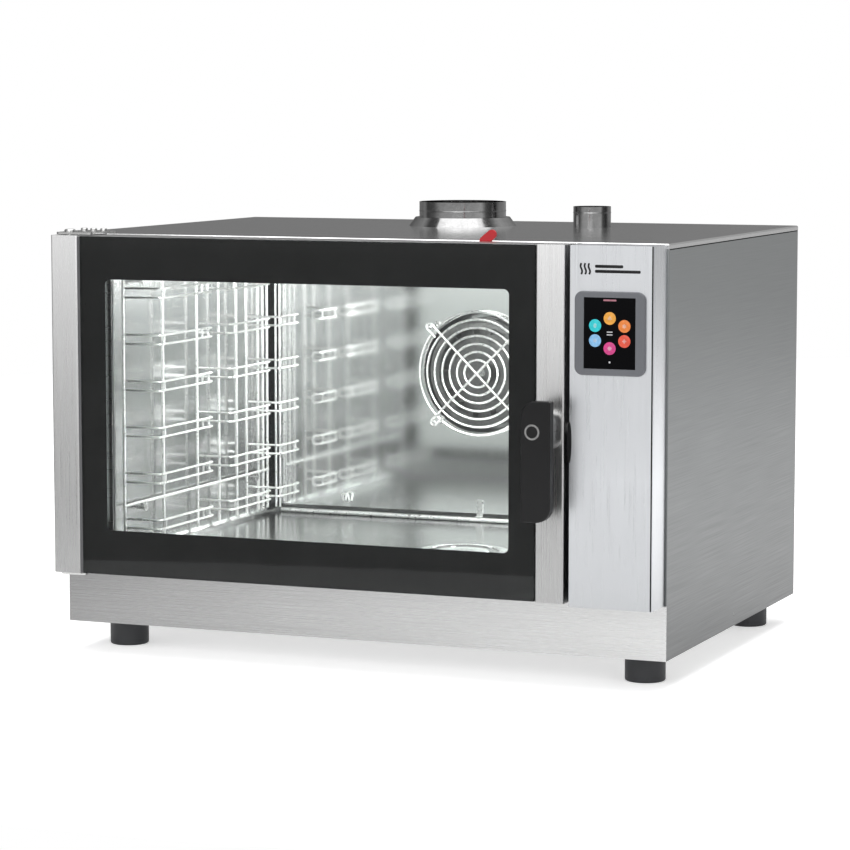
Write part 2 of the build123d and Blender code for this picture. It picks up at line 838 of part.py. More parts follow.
def hinge_screws():
    """Screws of the top hinge plate, on the part that lies on the cover."""
    made = []
    for x, y in ((hinge_x + 12, 14), (hinge_x + 28, 14), (hinge_x - 6, 20)):
        z = body_height + plate_thickness
        head = rod_z(x, y, (z, z + hinge_screw_height), hinge_screw_radius)
        made.append(fillet(head.edges().group_by(Axis.Z)[-1], 1.5))
    return made


def bottom_hinge_plate():
    x0 = -frame_half + 0.4
    z = (plinth_height, plinth_height + foot_plate_thickness)
    y = (hinge_y - plate_front, plinth_flange - 2)
    plate = rounded((x0, hinge_x + foot_plate_right), y, z, plate_corner, Axis.Z)
    return plate - rod_z(hinge_x, hinge_y, (z[0] - 1, z[1] + 1), pin_radius)


def bottom_hinge_pin():
    return rod_z(hinge_x, hinge_y, (plinth_height, door_foot + pin_length), pin_radius)


def hinge_bush(z):
    return ring_z(hinge_x, hinge_y, z, bush_radius, pin_radius + running_gap)


# ---- Handle and latch ----
tongue_y = (door_face + tongue_setback, door_face + tongue_setback + tongue_thickness)


def lever():
    """Flat blade with two large and two small corners, round which the hand closes."""
    x = (pivot_x - lever_left_of_pivot, pivot_x - lever_left_of_pivot + lever_width)
    z = (pivot_height - lever_below_pivot, pivot_height + lever_above_pivot)
    blade = block(x, (lever_face, lever_back), z)
    upright = blade.edges().filter_by(Axis.Y)
    big = [e for e in upright if (e.center().X < pivot_x) == (e.center().Z > pivot_height)]
    blade = fillet(big, lever_big_corner)
    small = [e for e in blade.edges().filter_by(Axis.Y)
             if e.length > lever_thickness - 0.1
             and min(abs(e.center().X - x[0]), abs(e.center().X - x[1])) < 0.1
             and min(abs(e.center().Z - z[0]), abs(e.center().Z - z[1])) < 0.1]
    blade = fillet(small, lever_small_corner)
    blade = fillet(blade.faces().group_by(Axis.Y)[0].edges(), lever_front_edge)
    blade = fillet(blade.faces().group_by(Axis.Y)[-1].edges(), lever_back_edge)
    blade -= rod_y(pivot_x, (lever_back - spindle_in_lever, lever_back + 1), pivot_height, spindle_radius)
    groove = ring_y(pivot_x, (lever_face - 1, lever_face + ring_wire), pivot_height,
                    ring_radius, ring_radius - 2 * ring_wire)
    return blade - groove


def lever_ring():
    """Polished ring let into the lever over its pivot."""
    return ring_y(pivot_x, (lever_face - 0.4, lever_face + ring_wire), pivot_height,
                  ring_radius, ring_radius - 2 * ring_wire)


def handle_boss():
    x = (door_right - boss_width - 3, door_right - 3)
    y = (lever_back + boss_clearance, door_face)
    z = (pivot_height - boss_height / 2, pivot_height + boss_height / 2)
    boss = rounded(x, y, z, boss_width / 2 - 1)
    boss = chamfer(boss.faces().group_by(Axis.Y)[0].edges(), 2)
    return boss - rod_y(pivot_x, (y[0] - 1, y[1] + 1), pivot_height, spindle_radius + running_gap)


def latch_spindle():
    """Spindle from the lever through the boss and the trim, with the latch's tongue on its end."""
    arm = block((pivot_x, pivot_x + tongue_reach), tongue_y,
                (pivot_height - tongue_half_height, pivot_height + tongue_half_height))
    arm = fillet([e for e in arm.edges().filter_by(Axis.Y) if e.center().X > pivot_x + 1], tongue_corner)
    arm += rod_y(pivot_x, tongue_y, pivot_height, tongue_hub_radius)
    return arm + rod_y(pivot_x, (lever_back - spindle_in_lever, tongue_y[1]), pivot_height, spindle_radius)


def latch_keeper():
    """Catch in the control box's left wall, open towards the front and the door."""
    x = (control_left - keeper_proud, control_left + keeper_depth)
    y = (tongue_y[0] - 2, tongue_y[1] + keeper_wall + 2)
    z = (pivot_height - keeper_below_pivot, pivot_height - keeper_below_pivot + keeper_height)
    catch = block(x, y, z)
    catch -= block((x[0] - 1, x[1] - keeper_wall), (y[0] - 1, tongue_y[1] + 1),
                   (z[0] + keeper_wall, z[1] - keeper_wall))
    return catch


# ---- Control box and display ----
control_middle = (control_left + control_right) / 2
bezel_x = (control_left + bezel_from_left, control_left + bezel_from_left + bezel_width)
bezel_z = (body_height - bezel_from_top - bezel_height, body_height - bezel_from_top)
screen_x = (bezel_x[0] + bezel_border_side, bezel_x[1] - bezel_border_side)
screen_z = (bezel_z[0] + bezel_border_foot, bezel_z[1] - bezel_border_head)


def control_box():
    """Folded box that stands on the body's front beside the door, closed by its front plate."""
    x = (control_left, control_right)
    z = (plinth_height + seam, body_height - door_head_gap)
    box = rounded(x, (door_face, 0), z, 2, Axis.Z)
    box -= block((x[0] + sheet, x[1] - sheet), (door_face - 1, 1), (z[0] + sheet, z[1] - sheet))
    box -= block((x[0] - 1, x[1] - sheet), (door_face - 1, door_face + sheet), (z[0] - 1, z[1] + 1))
    catch = block((x[0] - 1, x[0] + sheet + 1), (tongue_y[0] - 2, tongue_y[1] + keeper_wall + 2),
                  (pivot_height - keeper_below_pivot, pivot_height - keeper_below_pivot + keeper_height))
    box -= catch
    return box


def control_front():
    x = (control_left, control_right - sheet - control_seam)
    z = (plinth_height + seam, body_height - door_head_gap)
    plate = block(x, (door_face, door_face + sheet), z)
    plate = fillet(plate.edges().filter_by(Axis.Z).group_by(Axis.Y)[0], 0.8)
    cut = rounded((bezel_x[0] + 6, bezel_x[1] - 6), (door_face - 1, door_face + 3),
                  (bezel_z[0] + 6, bezel_z[1] - 6), 5)
    return plate - cut


def display_bezel():
    y = (door_face - bezel_proud, door_face)
    rim = rounded(bezel_x, y, bezel_z, bezel_radius)
    rim = fillet(rim.faces().group_by(Axis.Y)[0].edges(), 2)
    rim -= block(screen_x, (y[0] - 1, y[1] + 1), screen_z)
    return rim


def display_screen():
    front = door_face - bezel_proud + screen_recess
    y = (front, front + screen_thickness)
    return block(screen_x, y, screen_z)


def display_board():
    x = (bezel_x[0] + 8, bezel_x[1] - 8)
    z = (bezel_z[0] + 8, bezel_z[1] - 8)
    board = block(x, (door_face + 8, door_face + 9.6), z)
    chip = block((x[0] + 20, x[0] + 45), (door_face + 9.6, door_face + 12), (z[0] + 30, z[0] + 55))
    plug = block((x[0] + 15, x[0] + 60), (door_face + 9.6, door_face + 17), (z[0] + 5, z[0] + 14))
    panel_front = door_face - bezel_proud + screen_recess + screen_thickness
    panel = block((screen_x[0] + 2, screen_x[1] - 2), (panel_front, door_face + 8),
                  (screen_z[0] + 2, screen_z[1] - 2))
    return board + chip + plug + panel


# ---- Electrical parts in the bay beside the cavity ----
bay_left = cavity_right + cavity_sheet + insulation_side
bay_right = half_width - sheet
bay_middle = (bay_left + bay_right) / 2


def power_board():
    x = (bay_right - 20, bay_right - 18.4)
    board = block(x, (120, 320), (180, 380))
    for y, z, size in ((150, 220, 22), (190, 220, 22), (230, 220, 22), (270, 330, 30), (200, 330, 26)):
        board += block((x[0] - 16, x[0]), (y, y + size), (z, z + size))
    pillars = [rod_x((x[1], bay_right), y, z, 3.5) for y in (130, 310) for z in (190, 370)]
    return [board] + pillars


def mains_switchgear():
    """Contactor and terminal block on the side panel."""
    base = block((bay_right - 60, bay_right), (120, 180), (60, 130))
    base = fillet(base.edges().filter_by(Axis.X), 2)
    base += block((bay_right - 70, bay_right - 60), (130, 170), (75, 115))
    body = block((bay_right - 30, bay_right), (220, 310), (60, 95))
    for slot in range(6):
        y = 226 + slot * 14
        body -= block((bay_right - 31, bay_right - 22), (y, y + 8), (65, 90))
    return [base, body]


def water_valve():
    """Solenoid valve inside the back panel, with a threaded inlet that stands out of it."""
    end = body_depth + service_reach
    face = back_inner - coil_gap
    coil = rounded((valve_x - valve_half, valve_x + valve_half), (face - coil_depth, face),
                   (valve_z - valve_half, valve_z + valve_half), 3)
    neck = rod_y(valve_x, (face, body_depth + thread_start), valve_z, inlet_thread_radius - thread_neck)
    nose = rod_y(valve_x, (body_depth + thread_start, end), valve_z, inlet_thread_radius)
    return coil + neck + nose - rod_y(valve_x, (body_depth, end + 1), valve_z, inlet_bore_radius)


def cable_gland():
    body = rod_y(gland_x, (back_inner - 10, body_depth + gland_reach), gland_z, gland_radius - gland_neck)
    nut = extrude(RegularPolygon(gland_radius, 6), gland_nut_half, both=True)
    body += Pos(gland_x, body_depth + gland_nut, gland_z) * Rot(90, 0, 0) * nut
    return body - rod_y(gland_x, (back_inner - 20, body_depth + 40), gland_z, gland_bore_radius)


def drain_pipe():
    """Bent pipe from the cavity's floor to the rear, with a wider spigot outside."""
    end_y = body_depth + service_reach
    radius = drain_radius - drain_wall
    path = FilletPolyline((drain_from_middle, drain_from_front, cavity_floor - cavity_sheet),
                          (drain_from_middle, drain_from_front, drain_line_drop),
                          (drain_from_middle, end_y, drain_line_drop), radius=drain_bend)
    ends = Plane(path @ 0, z_dir=path % 0)
    outer = sweep(ends * Circle(radius), path)
    outer += rod_y(drain_from_middle, (body_depth + thread_start, end_y), drain_line_drop, drain_radius)
    return outer - sweep(ends * Circle(radius - drain_wall), path)


def drain_strainer():
    z = (cavity_floor, cavity_floor + 1.5)
    disc = rod_z(drain_from_middle, drain_from_front, z, strainer_radius)
    disc = chamfer(disc.edges().group_by(Axis.Z)[-1], 1)
    for count, radius in ((6, 7.5), (12, 14)):
        for hole in range(count):
            angle = radians(hole * 360 / count)
            disc -= rod_z(drain_from_middle + radius * cos(angle), drain_from_front + radius * sin(angle),
                          (z[0] - 1, z[1] + 1), 1.8)
    return disc


def service_places():
    """Holes in the back panel for the drain, the water inlet and the cable gland."""
    return [(drain_from_middle, drain_line_drop, drain_radius - drain_wall),
            (valve_x, valve_z, inlet_thread_radius - thread_neck),
            (gland_x, gland_z, gland_radius - gland_neck)]


def oven_lamp():
    """Lamp housing in the right wall, its bulb and the glass over it."""
    housing = rod_x((cavity_right, bay_left + 8), lamp_y, lamp_z, lamp_radius)
    housing -= rod_x((cavity_right - 1, bay_left), lamp_y, lamp_z, lamp_radius - 2)
    bulb = rod_x((cavity_right + 6, bay_left), lamp_y, lamp_z, bulb_radius)
    lens = rod_x((cavity_right - 5, cavity_right), lamp_y, lamp_z, lamp_radius + lamp_lens_rim)
    return [housing, bulb, fillet(lens.edges().group_by(Axis.X)[0], 3)]


def temperature_probe():
    tip = rod_x((cavity_right - probe_reach, bay_left + 12), probe_y, probe_z, probe_radius)
    nut = rod_x((cavity_right - 5, cavity_right), probe_y, probe_z, 2 * probe_radius)
    return tip + nut


# ---- Tubes on the cover ----
def stepped_tube(x, y, radius, wall, step, shoulder, top):
    """Outlet tube from the cavity's roof, slightly wider where a duct slides over it."""
    foot = cavity_top + cavity_sheet
    tube = rod_z(x, y, (foot, shoulder), radius - step) + rod_z(x, y, (shoulder, top), radius)
    return tube - rod_z(x, y, (foot - 1, top + 1), radius - wall)


def flue_tube():
    return stepped_tube(flue_from_middle, flue_y, flue_radius, flue_wall, flue_step,
                        body_height + collar_rise, body_height + flue_rise)


def flue_collar():
    """Conical flashing round the flue, standing on the cover."""
    cone = Pos(flue_from_middle, flue_y, body_height + collar_rise / 2) * Cone(
        collar_foot_radius, collar_top_radius, collar_rise)
    return cone - rod_z(flue_from_middle, flue_y, (body_height - 1, body_height + collar_rise + 1),
                        flue_radius - flue_step)


def vent_tube():
    tube = stepped_tube(vent_from_middle, vent_y, vent_radius, vent_wall, vent_step,
                        body_height + 1, body_height + vent_rise)
    return tube - rod_y(vent_from_middle, (vent_y - 40, vent_y + 40), flap_z, flap_shaft_radius + running_gap)


def flap_shaft():
    return rod_y(vent_from_middle, (door_back + 1.5, vent_y + vent_radius + 4), flap_z, flap_shaft_radius)


def vent_flap():
    radius = vent_radius - vent_wall - flap_gap
    sleeve = Rot(90, 0, 0) * Cylinder(flap_shaft_radius + 1.5, 1.6 * radius)
    disc = Cylinder(radius, 1.5) + sleeve - Rot(90, 0, 0) * Cylinder(flap_shaft_radius, 2 * radius + 2)
    return Pos(vent_from_middle, vent_y, flap_z) * Rot(0, flap_rest_angle, 0) * disc


def flap_lever():
    """Oval tab on the shaft's front end, between the door and the body."""
    y = (door_back + 1.5, door_back + 1.5 + tab_thickness)
    arm = block((0, tab_far - tab_width / 2), y, (-2.5, 2.5))
    tab = rounded((tab_near, tab_far), y, (-tab_width / 2, tab_width / 2), tab_width / 2 - 0.1)
    hub = rod_y(0, y, 0, 7)
    whole = hub + arm + tab
    whole = Pos(vent_from_middle, 0, flap_z) * Rot(0, -(90 - flap_rest_angle), 0) * whole
    return whole - rod_y(vent_from_middle, (y[0] - 1, y[1] + 1), flap_z, flap_shaft_radius)


# ---- Writing ----
write("top_cover", top_cover())
write("left_side_panel", side_panel(-1))
write("right_side_panel", side_panel(1))
write("front_plinth", front_plinth())
write("base_tray", base_tray())
write("back_panel", back_panel())
write("feet", [foot(x, y) for x, y in foot_places()])

write("front_frame", front_frame())
write("cavity_shell", cavity_shell())
write("insulation", insulation())
write("door_seal", door_seal())
write("cavity_studs", pegs_left(), mirrored(pegs_left()), baffle_stands())
write("rack_left", rack_left())
write("rack_right", mirrored(rack_left()))
write("air_baffle", air_baffle())
write("baffle_rod", baffle_rod())
write("oven_lamp", oven_lamp())
write("temperature_probe", temperature_probe())
write("drain_strainer", drain_strainer())

write("fan_guard", fan_guard())
write("fan_impeller", fan_impeller())
write("motor_shaft", motor_shaft())
write("shaft_seal", shaft_seal())
write("motor_mount", motor_mount())
write("fan_motor", fan_motor())
write("motor_cover", motor_cover())
write("heating_element", heating_element())
write("steam_pipe", steam_pipe())

write("door_column", door_column())
write("door_trim", door_trim())
write("door_frame", door_frame())
write("outer_glass", outer_glass())
write("glass_border", glass_border())
write("inner_glass", inner_glass())
write("glass_clips", glass_clips())

write("top_hinge_plate", top_hinge_plate(), hinge_screws())
write("bottom_hinge_plate", bottom_hinge_plate())
write("hinge_pins", top_hinge_pin(), bottom_hinge_pin())
write("hinge_bushes", hinge_bush((door_foot, door_foot + bush_length)),
      hinge_bush((door_head - bush_length, door_head)))

write("handle_lever", lever())
write("handle_ring", lever_ring())
write("handle_boss", handle_boss())
write("latch_spindle", latch_spindle())
write("latch_keeper", latch_keeper())

write("control_box", control_box())
write("control_front", control_front())
write("display_bezel", display_bezel())
write("display_screen", display_screen())
write("display_board", display_board())
write("power_board", power_board())
write("mains_switchgear", mains_switchgear())

write("water_valve", water_valve())
write("cable_gland", cable_gland())
write("drain_pipe", drain_pipe())

write("flue_tube", flue_tube())
write("flue_collar", flue_collar())
write("vent_tube", vent_tube())
write("vent_flap", vent_flap())
write("flap_shaft", flap_shaft())
write("flap_lever", flap_lever())
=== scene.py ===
import json
from math import cos, pi, radians, sin

import bmesh
import bpy
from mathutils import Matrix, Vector


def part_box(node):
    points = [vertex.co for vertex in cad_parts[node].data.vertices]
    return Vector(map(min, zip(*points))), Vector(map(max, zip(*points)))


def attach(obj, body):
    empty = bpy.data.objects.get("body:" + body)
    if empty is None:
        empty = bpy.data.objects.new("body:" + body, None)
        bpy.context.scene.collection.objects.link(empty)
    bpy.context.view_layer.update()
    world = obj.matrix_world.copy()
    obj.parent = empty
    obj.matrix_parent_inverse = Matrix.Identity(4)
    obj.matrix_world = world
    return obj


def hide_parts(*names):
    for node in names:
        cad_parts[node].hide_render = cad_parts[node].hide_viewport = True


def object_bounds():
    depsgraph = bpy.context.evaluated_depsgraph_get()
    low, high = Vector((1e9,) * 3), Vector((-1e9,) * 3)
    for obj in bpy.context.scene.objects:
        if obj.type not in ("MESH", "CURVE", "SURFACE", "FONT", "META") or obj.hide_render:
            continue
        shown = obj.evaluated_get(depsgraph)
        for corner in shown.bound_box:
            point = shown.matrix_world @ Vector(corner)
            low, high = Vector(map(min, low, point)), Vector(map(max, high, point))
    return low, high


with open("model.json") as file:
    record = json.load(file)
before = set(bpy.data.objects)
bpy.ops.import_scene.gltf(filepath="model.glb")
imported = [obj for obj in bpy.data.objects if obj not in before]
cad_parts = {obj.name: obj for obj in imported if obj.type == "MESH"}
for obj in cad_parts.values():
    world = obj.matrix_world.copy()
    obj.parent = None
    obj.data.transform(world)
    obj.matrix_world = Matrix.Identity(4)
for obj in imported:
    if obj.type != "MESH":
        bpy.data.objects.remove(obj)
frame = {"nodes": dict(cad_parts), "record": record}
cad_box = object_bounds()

MM = 0.001


# ---- Places, read from the frame ----
class Place:
    """The box of a CAD node, with its sides as x0, x1, y0, y1, z0, z1 and its middle."""

    def __init__(self, node):
        low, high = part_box(node)
        self.x0, self.y0, self.z0 = low
        self.x1, self.y1, self.z1 = high
        self.x, self.y, self.z = (low + high) / 2
        self.width, self.depth, self.height = high - low


cavity = Place("cavity_shell")
baffle = Place("air_baffle")
impeller = Place("fan_impeller")
screen = Place("display_screen")
bezel = Place("display_bezel")
panel = Place("control_front")
glass = Place("outer_glass")
column = Place("door_column")
trim = Place("door_trim")
cover = Place("top_cover")
plinth = Place("front_plinth")
back = Place("back_panel")
motor_cover = Place("motor_cover")
strainer = Place("drain_strainer")
left_rack = Place("rack_left")
right_rack = Place("rack_right")
frame_sheet = Place("front_frame")


# ---- Materials ----
def new_material(name):
    """An empty material with its tree and its shader."""
    material = bpy.data.materials.new(name)
    material.use_nodes = True
    tree = material.node_tree
    return material, tree, tree.nodes["Principled BSDF"]


def add(tree, kind, **values):
    """A new node with its settings."""
    node = tree.nodes.new(kind)
    for key, value in values.items():
        setattr(node, key, value)
    return node


def noise(tree, scale, detail=3.0, stretch=(1, 1, 1), roughness=0.55):
    """Noise on the object's own coordinates, stretched along the axes."""
    place = add(tree, "ShaderNodeTexCoord")
    mapping = add(tree, "ShaderNodeMapping")
    mapping.inputs["Scale"].default_value = stretch
    tree.links.new(place.outputs["Object"], mapping.inputs["Vector"])
    texture = add(tree, "ShaderNodeTexNoise")
    texture.inputs["Scale"].default_value = scale
    texture.inputs["Detail"].default_value = detail
    texture.inputs["Roughness"].default_value = roughness
    tree.links.new(mapping.outputs["Vector"], texture.inputs["Vector"])
    return texture.outputs["Fac"]


def ranged(tree, value, low, high, start=0.3, end=0.7):
    """The value carried from start..end over to low..high."""
    node = add(tree, "ShaderNodeMapRange")
    for socket, number in zip(("From Min", "From Max", "To Min", "To Max"), (start, end, low, high)):
        node.inputs[socket].default_value = number
    tree.links.new(value, node.inputs["Value"])
    return node.outputs["Result"]


def mixed(tree, share, first, second):
    """A colour between two, each a constant or a socket."""
    node = add(tree, "ShaderNodeMix", data_type="RGBA")
    tree.links.new(share, node.inputs["Factor"])
    for socket, colour in ((6, first), (7, second)):
        if isinstance(colour, tuple):
            node.inputs[socket].default_value = (*colour, 1)
        else:
            tree.links.new(colour, node.inputs[socket])
    return node.outputs[2]


def bumped(tree, shader, height, strength, distance):
    """Lets a height roughen the shader's surface."""
    bump = add(tree, "ShaderNodeBump")
    bump.inputs["Strength"].default_value = strength
    bump.inputs["Distance"].default_value = distance
    tree.links.new(height, bump.inputs["Height"])
    tree.links.new(bump.outputs["Normal"], shader.inputs["Normal"])


GRAIN = {"x": (1.2, 160, 160), "y": (160, 1.2, 160), "z": (160, 160, 1.2), None: (40, 40, 40)}


def painted_shade_ramp(tree, axis, start, end, low, high):
    """A slow change of tone along one of the object's axes: painted shade, standing in for the darker
    reflections towards one end.
    """
    place = add(tree, "ShaderNodeTexCoord")
    split = add(tree, "ShaderNodeSeparateXYZ")
    tree.links.new(place.outputs["Object"], split.inputs["Vector"])
    return ranged(tree, split.outputs[axis.upper()], low, high, start, end)


def darkened(tree, colour, share, lowest):
    """The colour, brought down to a part of itself where share is near 0, as painted shade."""
    node = add(tree, "ShaderNodeMix", data_type="RGBA", blend_type="MULTIPLY")
    node.inputs["Factor"].default_value = 1.0
    tree.links.new(colour, node.inputs[6])
    grey = mixed(tree, share, (lowest,) * 3, (1.0, 1.0, 1.0))
    tree.links.new(grey, node.inputs[7])
    return node.outputs[2]


def sheet_steel(name, tone, roughness, grain="x", spread=0.06, depth=0.03, tint=(1, 1, 1), clouds=0.04,
                shade=None):
    """Stainless or zinc sheet: brush lines along one axis over slow clouds of tone, with painted shade
    towards one end of an axis when shade is given.
    """
    material, tree, shader = new_material(name)
    lines = noise(tree, 5.0, 4, GRAIN[grain])
    cloud = noise(tree, 3.5, 2, (1, 1, 1))
    light = tuple(min(1.0, (tone + spread) * t) for t in tint)
    dark = tuple((tone - spread) * t for t in tint)
    fine = mixed(tree, ranged(tree, lines, 0, 1), dark, light)
    duller = tuple((tone - clouds) * t for t in tint)
    colour = mixed(tree, ranged(tree, cloud, 0, 0.45), fine, duller)
    # Painted shade: the tone falls towards one end of the shade axis.
    if shade:
        axis, start, end, lowest = shade
        colour = darkened(tree, colour, painted_shade_ramp(tree, axis, start, end, 0, 1), lowest)
    tree.links.new(colour, shader.inputs["Base Color"])
    tree.links.new(ranged(tree, lines, roughness * 0.85, roughness * 1.2), shader.inputs["Roughness"])
    shader.inputs["Metallic"].default_value = 1.0
    bumped(tree, shader, lines, depth, 0.0004)
    return material


def drawn_wire(name, tone, roughness):
    """Bright drawn wire or turned rod, with a faint mottle from polishing."""
    material, tree, shader = new_material(name)
    mottle = noise(tree, 320, 2)
    colour = mixed(tree, ranged(tree, mottle, 0, 1), (tone - 0.08,) * 3, (tone, tone, tone * 0.985))
    tree.links.new(colour, shader.inputs["Base Color"])
    tree.links.new(ranged(tree, mottle, roughness * 0.8, roughness * 1.3), shader.inputs["Roughness"])
    shader.inputs["Metallic"].default_value = 1.0
    bumped(tree, shader, mottle, 0.06, 0.0002)
    return material


def moulded(name, colour, roughness, pebble=900.0, depth=0.08, contrast=0.25, specular=0.5):
    """Moulded plastic, rubber or powder coat: fine pebbled skin with slight unevenness of tone."""
    material, tree, shader = new_material(name)
    grain = noise(tree, pebble, 2)
    cloud = noise(tree, 14, 3)
    dark = tuple(c * (1 - contrast) for c in colour)
    tone = mixed(tree, ranged(tree, cloud, 0, 1), colour, dark)
    tree.links.new(tone, shader.inputs["Base Color"])
    unevenness = ranged(tree, grain, roughness * 0.85, min(1, roughness * 1.15))
    tree.links.new(unevenness, shader.inputs["Roughness"])
    shader.inputs["Specular IOR Level"].default_value = specular
    bumped(tree, shader, grain, depth, 0.0003)
    return material


def pane(name, tint):
    """Flat toughened glass: what is behind it shows, and its face mirrors by Fresnel, with faint smears."""
    material, tree, shader = new_material(name)
    tree.nodes.remove(shader)
    output = tree.nodes["Material Output"]
    through = add(tree, "ShaderNodeBsdfTransparent")
    through.inputs["Color"].default_value = (*tint, 1)
    gloss = add(tree, "ShaderNodeBsdfGlossy")
    gloss.inputs["Color"].default_value = (0.95, 0.97, 0.98, 1)
    smear = noise(tree, 9, 4, (1, 1, 2.5))
    tree.links.new(ranged(tree, smear, 0.01, 0.045), gloss.inputs["Roughness"])
    fresnel = add(tree, "ShaderNodeFresnel")
    fresnel.inputs["IOR"].default_value = 1.28
    mix = add(tree, "ShaderNodeMixShader")
    tree.links.new(fresnel.outputs["Fac"], mix.inputs["Fac"])
    tree.links.new(through.outputs["BSDF"], mix.inputs[1])
    tree.links.new(gloss.outputs["BSDF"], mix.inputs[2])
    tree.links.new(mix.outputs["Shader"], output.inputs["Surface"])
    return material


def glowing(name, colour, strength):
    """A lit mark on the display, its glow faintly uneven under a fine random cloud."""
    material, tree, shader = new_material(name)
    cloud = noise(tree, 260, 1)
    deep = tuple(c * 0.78 for c in colour)
    tone = mixed(tree, ranged(tree, cloud, 0, 1), colour, deep)
    shader.inputs["Base Color"].default_value = (0.02, 0.02, 0.02, 1)
    shader.inputs["Specular IOR Level"].default_value = 0.2
    tree.links.new(tone, shader.inputs["Emission Color"])
    shader.inputs["Emission Strength"].default_value = strength
    shader.inputs["Roughness"].default_value = 0.3
    bumped(tree, shader, cloud, 0.02, 0.0001)
    return material


def circuit_board_green():
    """Green board with slightly raised tracks."""
    material, tree, shader = new_material("solder_mask_green")
    traces = noise(tree, 420, 1, (1, 1, 0.35))
    colour = mixed(tree, ranged(tree, traces, 0, 1, 0.48, 0.52), (0.01, 0.11, 0.045), (0.03, 0.2, 0.08))
    tree.links.new(colour, shader.inputs["Base Color"])
    tree.links.new(ranged(tree, traces, 0.3, 0.5), shader.inputs["Roughness"])
    bumped(tree, shader, traces, 0.2, 0.0001)
    return material


def wool():
    """Yellow-brown mineral wool, with its fibres lying flat."""
    material, tree, shader = new_material("mineral_wool_batts")
    fibres = noise(tree, 220, 5, (1, 1, 6))
    colour = mixed(tree, ranged(tree, fibres, 0, 1), (0.32, 0.27, 0.14), (0.55, 0.48, 0.3))
    tree.links.new(colour, shader.inputs["Base Color"])
    tree.links.new(ranged(tree, fibres, 0.85, 1.0), shader.inputs["Roughness"])
    bumped(tree, shader, fibres, 0.6, 0.002)
    return material


FINISH = {
    "cover_steel": sheet_steel("cover_satin_steel", 0.80, 0.16, "x", 0.03, 0.02),
    # Painted shade: side panel darker towards its foot, plinth towards its left end, control panel over its
    # lower third, door column towards its foot.
    "side_steel": sheet_steel("side_satin_steel", 0.335, 0.34, "y", 0.006, 0.006, (0.96, 1.0, 1.01), 0.01,
                              shade=("z", plinth.z0, cover.z0, 0.28)),
    "plinth_steel": sheet_steel("plinth_brushed_steel", 0.50, 0.26, "x", 0.07, 0.06,
                                shade=("x", plinth.x0, plinth.x1, 0.48)),
    "panel_steel": sheet_steel("control_panel_steel", 0.80, 0.30, "z", 0.006, 0.005, (0.97, 0.99, 1.02),
                               shade=("z", panel.z0, panel.z0 + 0.36 * panel.height, 0.56)),
    "door_steel": sheet_steel("door_brushed_steel", 0.97, 0.28, "z", 0.012, 0.015,
                              shade=("z", column.z0, column.z1, 0.37)),
    "zinc_sheet": sheet_steel("zinc_coated_sheet", 0.55, 0.38, None, 0.08, 0.1),
    "polished_steel": sheet_steel("polished_baffle_steel", 0.97, 0.1, "z", 0.02, 0.008),
    "wire_steel": drawn_wire("bright_wire", 0.9, 0.3),
    "turned_steel": drawn_wire("turned_steel_parts", 0.6, 0.25),
    "tube_steel": sheet_steel("polished_tube_steel", 0.26, 0.12, None, 0.03, 0.01),
    "clear_glass": pane("clear_toughened_glass", (0.985, 0.995, 0.99)),
    "black_enamel": moulded("black_glass_enamel", (0.024, 0.024, 0.024), 0.5, 300, 0.01, 0.2, 0.0),
    "lever_black": moulded("lever_satin_black", (0.007, 0.007, 0.0075), 0.42, 900, 0.06, 0.2, 0.22),
    "keeper_black": moulded("keeper_black_nylon", (0.008, 0.008, 0.009), 0.5, 900, 0.06, 0.2, 0.15),
    "boss_metal": drawn_wire("boss_dull_metal", 0.42, 0.32),
    "ring_chrome": drawn_wire("ring_bright_chrome", 0.45, 0.16),
    "bezel_grey": moulded("bezel_silver_grey", (0.115, 0.12, 0.132), 0.38, 1400, 0.03, 0.1),
    "screen_glass": moulded("screen_black_glass", (0.0015, 0.0015, 0.002), 0.08, 200, 0.002, 0.2, 0.08),
    "circuit_board": circuit_board_green(),
    "switchgear_grey": moulded("switchgear_grey_plastic", (0.38, 0.39, 0.4), 0.5),
    "tab_red": moulded("flap_tab_red", (0.55, 0.012, 0.02), 0.38),
    "foot_black": moulded("foot_black_rubber", (0.018, 0.019, 0.022), 0.55, 700, 0.15),
    "seal_grey": moulded("silicone_seal_grey", (0.09, 0.09, 0.095), 0.6, 500, 0.1),
    "mineral_wool": wool(),
    "motor_grey": moulded("motor_cast_grey", (0.16, 0.17, 0.18), 0.45, 260, 0.3),
    "element_steel": drawn_wire("element_heat_tinted_tube", 0.3, 0.4),
    "valve_brass": drawn_wire("valve_plain_brass", 0.6, 0.3),
    "gland_black": moulded("gland_black_nylon", (0.016, 0.016, 0.017), 0.45),
}
OWN_FINISH = {
    # Painted shade: the cavity wall and floor darker towards the floor.
    "cavity_shell": sheet_steel("cavity_wall_steel", 0.78, 0.2, "z", 0.02, 0.01,
                                shade=("z", cavity.z0, cavity.z1, 0.56)),
    # Painted shade: a darker tone than the door steel, so the door's top face looks as grey as the cover.
    "door_frame": sheet_steel("door_channel_steel", 0.45, 0.3, "x", 0.02, 0.01),
    "fan_impeller": drawn_wire("impeller_dull_steel", 0.22, 0.4),
}
# Painted shade: matte black for strips set into seams and under lips where there is only shade.
SHADE_STRIP_BLACK = moulded("painted_shade_black_strip", (0.006, 0.006, 0.007), 0.7, 600, 0.05, 0.2, 0.1)


def dress_cad_nodes():
    """Gives every CAD node its own finish where it has one, or else its slot's."""
    for part in frame["record"]["subparts"]:
        mesh = frame["nodes"][part["node"]].data
        mesh.materials.clear()
        mesh.materials.append(OWN_FINISH.get(part["node"], FINISH[part["material_slot"]]))
        for face in mesh.polygons:
            face.material_index = 0


